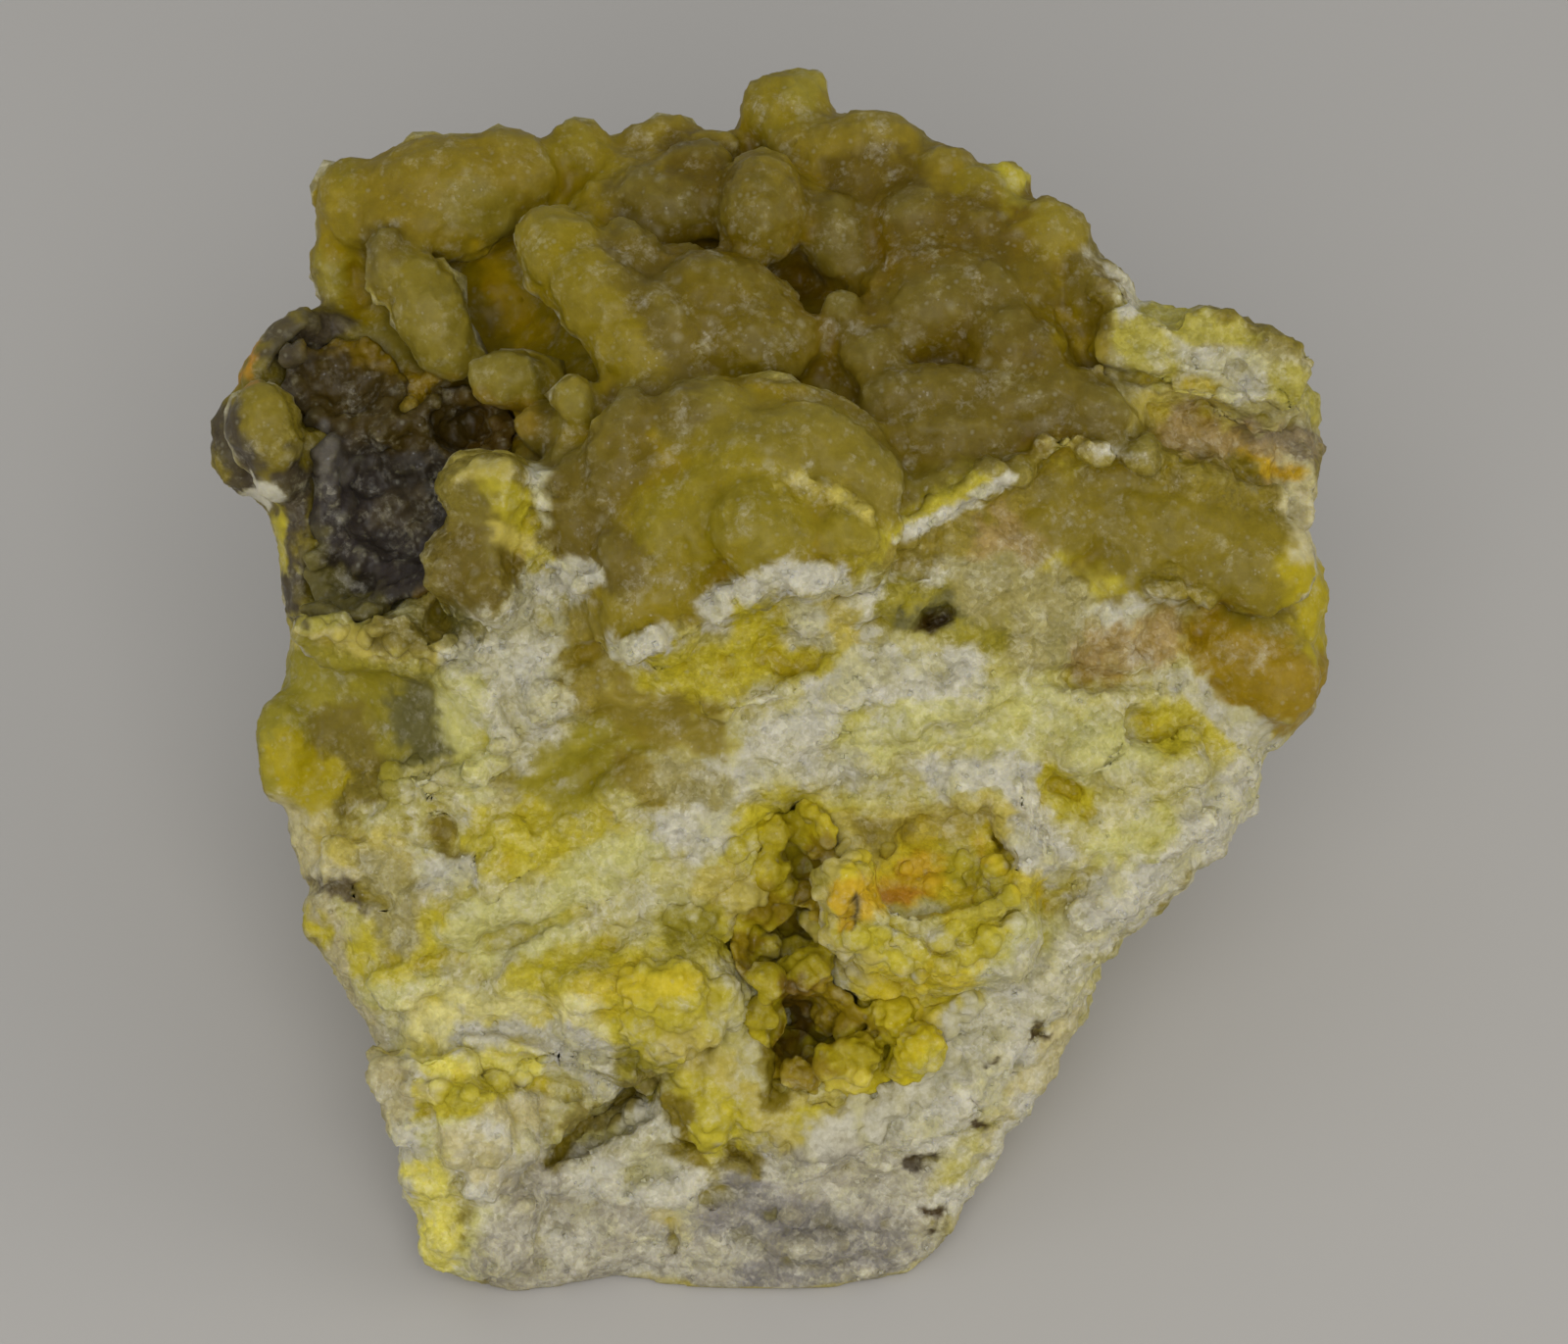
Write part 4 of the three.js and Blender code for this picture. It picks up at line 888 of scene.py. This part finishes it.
# Colour and sugar of the sides, laid in where a surface has turned away.
def paintSides(coords, broadFacing, coarse, sway, tint, frost):
    *base, baseSugar = finishes[sidePlan["base"]]
    patch, stain = finishes[sidePlan["patch"]][:3], finishes[sidePlan["stain"]][:3]
    away = (1 - smoothStep(*sidePlan["facing"], broadFacing + 0.1 * coarse))[:, None]
    patches = smoothStep(-0.12, 0.22, wobble(coords, sidePlan["patchSize"], 5) + 0.4 * coarse)
    stains = smoothStep(0.15, 0.45, wobble(coords, sidePlan["stainSize"], 6) + 0.3 * sway)[:, None]
    sides = linear(base) * (1 - patches[:, None]) + linear(patch) * patches[:, None]
    sides += stains * (linear(stain) - sides)
    tint += away * (sides - tint)
    frost += away[:, 0] * (baseSugar * (1 - patches) + sidePlan["patchSugar"] * patches - frost)


# Lays the strokes over a piece and stores what its material reads at each point.
def paint(piece, strokes, isRock=False):
    coords = coordsOf(piece)
    x, y = frameSpots(coords)
    (swell, swellReach), (ripple, rippleReach) = paintPlan["swell"], paintPlan["ripple"]
    coarse, sway = wobble(coords, swell, 1), wobble(coords, swell, 3)
    x = x + swellReach * coarse + rippleReach * wobble(coords, ripple, 2)
    y = y + swellReach * sway + rippleReach * wobble(coords, ripple, 4)
    finest, finer = paintPlan["ragged"]
    ragged = wobble(coords, finest, 7) + 0.6 * wobble(coords, finer, 8)
    tint, frost = np.zeros((len(x), 3)), np.zeros(len(x))
    widen, beyond = paintPlan["fade"]
    for finish, radius, *line in strokes:
        *colour, sugar = finishes[finish]
        reach = strokeDistance(x, y, list(zip(line[::2], line[1::2])))
        cover = 1 - smoothStep(paintPlan["core"] * radius, widen * radius + beyond, reach)
        cover = smoothStep(0.08, 0.92, cover + 1.5 * ragged * cover * (1 - cover))
        tint += cover[:, None] * (linear(colour) - tint)
        frost += cover * (sugar - frost)
    proud, broad = proudness(piece, paintPlan["proudRounds"])
    broadFacing = broad @ np.array(outward)
    sugary = paintPlan["plainSugar"] * np.ones(len(x))
    if isRock:
        paintSides(coords, broadFacing, coarse, sway, tint, frost)
        sugary = 1 - waxyShare(x, y, broadFacing)
    storeColours(piece, "tint", tint)
    storeValues(piece, "frost", frost)
    storeValues(piece, "proud", proud)
    storeValues(piece, "sugary", sugary)
    grainShare = sugary * smoothStep(0.3, 0.9, frost) * smoothStep(0.1, 0.4, broadFacing)
    storeValues(piece, "grainShare", grainShare)


def newMaterial(name, **values):
    material = bpy.data.materials.new(name)
    material.use_nodes = True
    shader = material.node_tree.nodes["Principled BSDF"]
    for socket, value in values.items():
        shader.inputs[socket].default_value = value
    return material, material.node_tree, shader


def addNode(tree, kind, inputs=None, **settings):
    node = tree.nodes.new(kind)
    for key, value in settings.items():
        setattr(node, key, value)
    for key, value in (inputs or {}).items():
        if isinstance(value, bpy.types.NodeSocket):
            tree.links.new(value, node.inputs[key])
        else:
            node.inputs[key].default_value = value
    return node


def newGroup(name, inputs, outputs):
    group = bpy.data.node_groups.new(name, "ShaderNodeTree")
    for label, value in inputs.items():
        socket = group.interface.new_socket(name=label, in_out="INPUT", socket_type="NodeSocketFloat")
        socket.default_value = value
    for label in outputs:
        group.interface.new_socket(name=label, in_out="OUTPUT", socket_type="NodeSocketFloat")
    return group, group.nodes.new("NodeGroupInput").outputs, group.nodes.new("NodeGroupOutput").inputs


def mathOf(tree, operation, first, second):
    return addNode(tree, "ShaderNodeMath", {0: first, 1: second}, operation=operation).outputs[0]


# A value times a factor, with more added.
def scaleAdd(tree, value, factor, more):
    inputs = {0: value, 1: factor, 2: more}
    return addNode(tree, "ShaderNodeMath", inputs, operation="MULTIPLY_ADD").outputs[0]


def stepOf(tree, value, low, high):
    inputs = {"Value": value, "From Min": low, "From Max": high}
    return addNode(tree, "ShaderNodeMapRange", inputs, interpolation_type="SMOOTHSTEP").outputs["Result"]


def mixOf(tree, share, first, second, blend="MIX"):
    inputs = {0: share, 6: first, 7: second}
    return addNode(tree, "ShaderNodeMix", inputs, data_type="RGBA", blend_type=blend).outputs[2]


def noiseOf(tree, place, scale, detail, roughness):
    inputs = {"Vector": place, "Scale": scale, "Detail": detail, "Roughness": roughness}
    return addNode(tree, "ShaderNodeTexNoise", inputs).outputs[0]


# The crystals' look: sizes in millimetres, noise as scale per metre, detail and roughness.
crystalPlan = {
    "grainSizes": (0.32, 0.62, 1.5),
    "patchSize": 3.0,
    "patchNoise": (7.0, 0.72),
    "frostEdge": (1.55, 2.95),
    "cloud": (420.0, 6.0, 0.7),
    "drift": (260.0, 4.0, 0.6),
    "driftEdge": (0.46, 0.66),
    "whiteSugar": (0.495, 0.465, 0.36, 1),
    "yellowSugar": (0.455, 0.42, 0.23, 1),
    # colour and share of the pale specks painted as sparkle of the small crystals
    "sparkleSpeckColour": (0.44, 0.42, 0.30, 1),
    "sparkleSpeckShare": 0.2,
    "roughness": (0.42, 0.75),  # bare and under sugar
    "bumpStrength": 0.4,
    "bumpDepth": 0.28 * mm,
    "glow": (2.6 * mm, 2.1 * mm, 0.6 * mm),  # how far red, green and blue light travels inside
}
# How much painted highlight the crests take, and how much painted shade, tinted a deeper yellow, the hollows
# take.
rockLook = {
    "hollowShadeShare": 0.9,
    "hollowShadeColour": (0.92, 0.84, 0.16, 1),
    "crestHighlightShare": 0.28,
    "crestHighlightColour": (0.26, 0.228, 0.06, 1),
    "softness": 0.3,
}
knobLook = rockLook | {"hollowShadeColour": (0.8, 0.72, 0.14, 1), "softness": 0.0}
vugLook = rockLook | {"hollowShadeShare": 0.5, "crestHighlightShare": 0.5, "crestHighlightColour": (0.44, 0.40, 0.10, 1)}


# Grains of one size: a chance value for each, a soft speck in its middle and the height of its dome.
def buildGrainGroup():
    group, given, result = newGroup("crystalGrains", {"Grain size": 0.5}, ["Chance", "Speck", "Height"])
    place = addNode(group, "ShaderNodeTexCoord").outputs["Object"]
    scale = mathOf(group, "DIVIDE", 1 / mm, given["Grain size"])
    cells = addNode(group, "ShaderNodeTexVoronoi", {"Vector": place, "Scale": scale})
    chance = addNode(group, "ShaderNodeSeparateColor", {"Color": cells.outputs["Color"]}).outputs["Red"]
    group.links.new(chance, result["Chance"])
    group.links.new(stepOf(group, cells.outputs["Distance"], 0.5, 0.1), result["Speck"])
    group.links.new(mathOf(group, "SUBTRACT", 1.0, cells.outputs["Distance"]), result["Height"])
    return group


# White sugar that breaks up into patches and single grains where it thins out.
def buildFrostGroup():
    group, given, result = newGroup("sugarFrost", {"Amount": 0.5, "Grain": 0.5, "Patch size": 3.0}, ["Cover"])
    place = addNode(group, "ShaderNodeTexCoord").outputs["Object"]
    scale = mathOf(group, "DIVIDE", 1 / mm, given["Patch size"])
    cloud = noiseOf(group, place, scale, *crystalPlan["patchNoise"])
    level = scaleAdd(group, given["Grain"], 0.5, scaleAdd(group, cloud, 2.6, given["Amount"]))
    group.links.new(stepOf(group, level, *crystalPlan["frostEdge"]), result["Cover"])
    return group


def buildRockMaterial(name, grains, frostGroup, look):
    material, tree, shader = newMaterial(name, **{
        "Roughness": 0.5, "IOR": 1.45, "Subsurface Weight": look["softness"], "Subsurface Scale": 1.0,
        "Subsurface Radius": crystalPlan["glow"], "Specular IOR Level": 0.2, "Coat Roughness": 0.25})
    tint = addNode(tree, "ShaderNodeAttribute", attribute_name="tint").outputs["Color"]
    frost, proud, sugary = [addNode(tree, "ShaderNodeAttribute", attribute_name=label).outputs["Fac"]
                            for label in ("frost", "proud", "sugary")]
    place = addNode(tree, "ShaderNodeTexCoord").outputs["Object"]
    small, middle, large = [addNode(tree, "ShaderNodeGroup", {"Grain size": size}, node_tree=grains).outputs
                            for size in crystalPlan["grainSizes"]]
    # each grain a little lighter or darker than the next, most of all in the broken front
    uneven = scaleAdd(tree, small["Chance"], 0.45, mathOf(tree, "MULTIPLY", middle["Chance"], 0.55))
    frosting = {"Amount": frost, "Grain": uneven, "Patch size": crystalPlan["patchSize"]}
    cover = addNode(tree, "ShaderNodeGroup", frosting, node_tree=frostGroup).outputs[0]
    cloud = noiseOf(tree, place, *crystalPlan["cloud"])
    spread = scaleAdd(tree, sugary, 0.3, 0.1)
    tone = scaleAdd(tree, mathOf(tree, "SUBTRACT", uneven, 0.5), spread, scaleAdd(tree, cloud, 0.8, 0.6))
    toned = addNode(tree, "ShaderNodeCombineColor", {0: tone, 1: tone, 2: tone}).outputs[0]
    # crests are paler: partly the crystal's paler rind, partly painted highlight. Hollows take painted shade
    # and glow, darker in a deeper, cleaner yellow
    crest = mathOf(tree, "MULTIPLY", stepOf(tree, proud, 0.0, 0.9), look["crestHighlightShare"])
    crestHighlighted = mixOf(tree, crest, tint, look["crestHighlightColour"])
    hollowShadeTint = mixOf(tree, 1.0, crestHighlighted, look["hollowShadeColour"], "MULTIPLY")
    deep = mathOf(tree, "MULTIPLY", stepOf(tree, proud, 0.0, -0.8), look["hollowShadeShare"])
    hollowShaded = mixOf(tree, deep, crestHighlighted, hollowShadeTint)
    drift = stepOf(tree, noiseOf(tree, place, *crystalPlan["drift"]), *crystalPlan["driftEdge"])
    sugarTint = mixOf(tree, drift, crystalPlan["whiteSugar"], crystalPlan["yellowSugar"])
    varied = mixOf(tree, 1.0, mixOf(tree, cover, hollowShaded, sugarTint), toned, "MULTIPLY")
    # soft pale specks, single and in groups: painted sparkle of the small crystals
    rare = mathOf(tree, "MULTIPLY", mathOf(tree, "LESS_THAN", middle["Chance"], 0.1), middle["Speck"])
    broad = mathOf(tree, "MULTIPLY", mathOf(tree, "LESS_THAN", large["Chance"], 0.22), large["Speck"])
    sparkleSpecks = mathOf(tree, "MAXIMUM", rare, mathOf(tree, "MULTIPLY", broad, stepOf(tree, cloud, 0.4, 0.62)))
    sparkleSpeckShare = mathOf(tree, "MULTIPLY", sparkleSpecks, crystalPlan["sparkleSpeckShare"])
    tree.links.new(mixOf(tree, sparkleSpeckShare, varied, crystalPlan["sparkleSpeckColour"]), shader.inputs["Base Color"])
    bare, sugared = crystalPlan["roughness"]
    rough = addNode(tree, "ShaderNodeMapRange", {"Value": cover, "To Min": bare, "To Max": sugared})
    tree.links.new(rough.outputs[0], shader.inputs["Roughness"])
    glint = mathOf(tree, "MULTIPLY", mathOf(tree, "LESS_THAN", small["Chance"], 0.1), small["Speck"])
    tree.links.new(mathOf(tree, "MULTIPLY", glint, 0.8), shader.inputs["Coat Weight"])
    domes = scaleAdd(tree, middle["Height"], 0.8, mathOf(tree, "MULTIPLY", small["Height"], 0.4))
    domes = mathOf(tree, "MULTIPLY", domes, scaleAdd(tree, sugary, 0.85, 0.15))
    bump = addNode(tree, "ShaderNodeBump", {
        "Height": scaleAdd(tree, cloud, 0.5, domes),
        "Strength": crystalPlan["bumpStrength"], "Distance": crystalPlan["bumpDepth"]})
    tree.links.new(bump.outputs["Normal"], shader.inputs["Normal"])
    return material


def finishPiece(piece, material, node, faceted=False):
    piece.data.materials.clear()
    piece.data.materials.append(material)
    makeActive(piece)
    if faceted:
        bpy.ops.object.shade_flat()
    else:
        bpy.ops.object.shade_smooth()
    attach(piece, "root")
    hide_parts(node)


studioPlan = {
    "floorSize": 6,
    "floorColour": (0.448, 0.428, 0.406, 1),
    "roomColour": (0.95, 0.98, 1.0, 1),
    "roomStrength": 0.45,
    # lights: place and size in metres, power, colour
    "lights": {
        "frontWindow": ((0.0, -0.68, 0.72), 0.75, 5.45, (1.0, 0.99, 0.96)),
        "rightFill": ((0.66, -0.16, 0.3), 0.4, 1.1, (1.0, 0.96, 0.88)),
        "leftFill": ((-0.62, -0.28, 0.2), 0.4, 0.5, (1.0, 0.98, 0.95)),
    },
}


def addFloor():
    bpy.ops.mesh.primitive_plane_add(size=studioPlan["floorSize"], location=(0, 0, 0))
    floor = bpy.context.active_object
    floor.name = "paleTable"
    settings = {"Roughness": 0.8, "Base Color": studioPlan["floorColour"]}
    material, tree, shader = newMaterial("paleTable", **settings)
    cloud = addNode(tree, "ShaderNodeTexNoise", {"Scale": 900.0, "Detail": 3.0}).outputs[0]
    bump = addNode(tree, "ShaderNodeBump", {"Height": cloud, "Strength": 0.05, "Distance": 0.2 * mm})
    tree.links.new(bump.outputs["Normal"], shader.inputs["Normal"])
    floor.data.materials.append(material)


def addLight(name, place, size, power, colour):
    light = bpy.data.lights.new(name, "AREA")
    light.size, light.energy, light.color = size, power, colour
    lamp = newObject(name, light)
    aim = Vector(place) - viewPlan["datum"]
    lamp.matrix_world = Matrix.Translation(Vector(place)) @ aim.to_track_quat("Z", "Y").to_matrix().to_4x4()


def addStudio():
    world = bpy.data.worlds.new("softRoom")
    world.use_nodes = True
    world.node_tree.nodes["Background"].inputs["Color"].default_value = studioPlan["roomColour"]
    world.node_tree.nodes["Background"].inputs["Strength"].default_value = studioPlan["roomStrength"]
    scene = bpy.context.scene
    scene.world = world
    scene.view_settings.view_transform = "Standard"
    scene.cycles.max_bounces = 3
    scene.cycles.diffuse_bounces = 2
    scene.cycles.glossy_bounces = 1
    scene.cycles.transmission_bounces = 1
    scene.cycles.caustics_reflective = False
    scene.cycles.caustics_refractive = False
    for name, settings in studioPlan["lights"].items():
        addLight(name, *settings)


# Lumps spread at random over the sides of a lining that can be seen from the front.
def scatterOver(piece, source, count, sizes, seed, sink=0.3):
    dice = random.Random(seed)
    tree = treeOf(piece)
    faces = [p for p in piece.data.polygons if p.normal.dot(outward) > -0.2]
    copies = []
    for face in dice.choices(faces, weights=[p.area for p in faces], k=count):
        corners = [piece.data.vertices[i].co for i in face.vertices]
        shares = [dice.random() for _ in corners]
        spot = sum((c * s for c, s in zip(corners, shares)), Vector()) / sum(shares)
        toEye = (eye - spot).normalized()
        size = dice.uniform(*sizes) * mm
        spin = randomSpin(dice)
        if tree.ray_cast(spot + toEye * 0.3 * mm, toEye)[0] is None:
            copies.append(placeCopy(source, spot - face.normal * size * sink, (size, size, size * 0.9), spin))
    return copies


# Copies at named places: where each shows, its radius and lift in millimetres, sunk by a share of its radius.
def placeNamed(tree, source, places, sink, dice):
    parts = []
    for x, y, radius, lift in places:
        spot = seatOn(tree, x, y) + outward * (lift - sink * radius) * mm
        parts.append(placeCopy(source, spot, [radius * mm] * 3, randomSpin(dice)))
    return parts


vugPlan = {
    "voxel": 0.25,
    "seed": 11,
    "beads": 420,
    "beadSizes": (0.4, 0.85),
    "clusterSink": 0.55,
    "clusters": [
        (796, 978, 2.0, 1.2), (812, 976, 2.2, 1.5), (826, 990, 2.3, 1.6), (848, 1000, 2.0, 1.5),
        (808, 995, 1.8, 1.4), (785, 965, 1.3, 0.8), (772, 1032, 1.6, 1.2), (786, 1040, 0.9, 1.3),
        (778, 1022, 0.9, 1.2), (758, 1042, 1.3, 0.8), (826, 1073, 0.8, 1.3), (812, 1094, 1.6, 1.2),
        (826, 1098, 1.3, 1.2), (842, 1112, 2.2, 1.7), (866, 1112, 2.3, 1.8), (858, 1128, 1.8, 1.6),
        (880, 1122, 1.8, 1.4), (880, 1098, 1.0, 1.5), (838, 1130, 1.5, 1.2), (880, 1074, 2.0, 0.6),
        (896, 1086, 1.7, 0.9), (862, 1072, 1.3, 0.3), (908, 1012, 2.4, 1.2), (914, 1038, 2.4, 1.0),
        (898, 1022, 1.8, 1.0), (848, 1036, 1.9, -0.4), (866, 1050, 1.6, -0.3), (836, 1052, 1.3, -0.6),
        (940, 1070, 2.4, 1.0), (962, 1084, 1.8, 0.8), (925, 1085, 2.0, 1.0), (786, 888, 2.0, 0.4),
        (796, 905, 1.6, -0.2), (790, 850, 1.8, 0.3), (800, 1126, 1.5, 0.8), (820, 1140, 1.6, 0.9),
        (900, 1112, 1.6, 0.8), (846, 1148, 1.4, 0.8), (786, 1120, 1.2, 0.7),
    ],
    "bays": [
        (815, 845, 822, 935, 24, 3.0), (790, 925, 800, 945, 16, 2.0), (802, 1040, 800, 1092, 20, 3.0),
        (845, 1030, 862, 1050, 16, 1.4),
    ],
}
# Strokes over the vug's crust. The olive, shade and dark strokes are painted shade in its chambers and round
# its lower hole; the olive is partly the crust's own colour.
vugPaint = [
    ("vugGold", 2000, 850, 1000), ("vugOliveShade", 26, 800, 845, 815, 930), ("vugShade", 14, 836, 870, 828, 925),
    ("vugShade", 18, 780, 925, 800, 945), ("vugOliveShade", 30, 790, 980, 850, 1000),
    ("vugShade", 26, 830, 1022, 870, 1045), ("vugDeepShade", 20, 806, 1022, 800, 1095),
    ("vugShade", 12, 760, 965, 745, 985), ("vugOliveShade", 16, 770, 1030, 786, 1040),
    ("vugOliveShade", 14, 812, 1092, 826, 1074), ("vugOliveShade", 16, 868, 1068, 890, 1078),
    ("vugShade", 20, 800, 1092, 840, 1098), ("vugPale", 16, 850, 1118, 874, 1120),
    ("vugGold", 24, 908, 1010, 925, 1060), ("limeGold", 16, 950, 1085, 965, 1085),
    ("straw", 16, 800, 1132, 850, 1150),
]


def buildVug():
    print("vug: botryoidal crust")
    crust = copyOfNode("vug_crust", "vugBotryoids")
    tree = treeOf(crust)
    remesh(crust, 2 * vugPlan["voxel"])
    carve(crust, vugPlan["bays"])
    large, small = makeCluster("botryoid", 40, 0.24), makeCluster("smallBotryoid", 16, 0.36)
    dice = random.Random(vugPlan["seed"])
    parts = placeNamed(tree, large, vugPlan["clusters"], vugPlan["clusterSink"], dice)
    parts += scatterOver(crust, small, vugPlan["beads"], vugPlan["beadSizes"], vugPlan["seed"])
    bpy.data.objects.remove(large)
    bpy.data.objects.remove(small)
    joinInto(crust, parts)
    remesh(crust, vugPlan["voxel"])
    soften(crust, 1)
    reportTriangles("vug", crust)
    return crust


drusePlan = {
    "voxel": 0.3,
    "seed": 23,
    "grains": 620,
    "grainSizes": (0.35, 0.85),
    "grainSink": 0.2,
    "knobSink": 0.5,
    "knobs": [
        (335, 462, 1.5, 1.2), (332, 475, 1.3, 0.8), (305, 360, 1.0, 0.8), (395, 440, 1.5, 0.6),
        (420, 470, 1.6, 0.6), (350, 520, 1.7, 0.8), (400, 520, 2.2, 1.0), (430, 545, 1.6, 0.8),
        (370, 570, 1.8, 0.6), (335, 500, 1.5, 0.6), (410, 585, 1.6, 0.6), (345, 600, 1.6, 0.5),
        (300, 400, 1.6, 0.5), (340, 390, 1.6, 0.3), (310, 540, 1.6, 0.5), (440, 500, 1.4, 0.6),
        (470, 440, 1.4, 0.5), (455, 415, 1.4, 0.3),
    ],
}
drusePaint = [
    ("druseDark", 2000, 380, 480), ("druseGrey", 40, 300, 365, 320, 380),
    # The gap stroke here is painted shade and glow in the recess at the hollow's upper edge.
    ("druseBrown", 46, 350, 400, 470, 410), ("gapShadeGlow", 26, 345, 335, 420, 360),
    ("druseBlack", 30, 480, 430, 515, 445), ("druseBrown", 26, 420, 440, 450, 430),
    ("druseViolet", 40, 340, 510, 420, 560), ("druseOlive", 34, 285, 540, 310, 600),
    ("druseOlive", 16, 300, 618, 420, 640), ("drusePale", 12, 335, 455, 336, 478),
    ("druseBlack", 12, 438, 610, 442, 640), ("druseGrey", 20, 400, 520, 420, 520),
]


def buildDruse():
    print("druse: small grey crystals")
    druse = copyOfNode("hollow_druse", "greyDruse")
    tree = treeOf(druse)
    bpy.ops.mesh.primitive_ico_sphere_add(subdivisions=1, radius=1)
    crystal = bpy.context.active_object
    dice = random.Random(drusePlan["seed"])
    joinInto(druse, placeNamed(tree, crystal, drusePlan["knobs"], drusePlan["knobSink"], dice))
    remesh(druse, 2 * drusePlan["voxel"])
    joinInto(druse, scatterOver(druse, crystal, drusePlan["grains"], drusePlan["grainSizes"],
                                drusePlan["seed"], drusePlan["grainSink"]))
    bpy.data.objects.remove(crystal)
    remesh(druse, drusePlan["voxel"])
    reportTriangles("druse", druse)
    return druse


addCamera()
addStudio()
addFloor()
grainGroup, frostGroup = buildGrainGroup(), buildFrostGroup()
rock = buildRock()
paint(rock, rockPaint, isRock=True)
grains = buildGrains(rock)
knobs = buildKnobs(rock)
paint(knobs, rockPaint)
rockMaterial = buildRockMaterial("waxySmithsonite", grainGroup, frostGroup, rockLook)
for piece in (rock, grains):
    finishPiece(piece, rockMaterial, "smithsonite_block", faceted=piece is grains)
knobMaterial = buildRockMaterial("crystalKnobs", grainGroup, frostGroup, knobLook)
finishPiece(knobs, knobMaterial, "smithsonite_block")
vug = buildVug()
paint(vug, vugPaint)
finishPiece(vug, buildRockMaterial("vugYellow", grainGroup, frostGroup, vugLook), "vug_crust")
druse = buildDruse()
paint(druse, drusePaint)
druseMaterial = buildRockMaterial("greyCrystals", grainGroup, frostGroup, rockLook)
finishPiece(druse, druseMaterial, "hollow_druse")
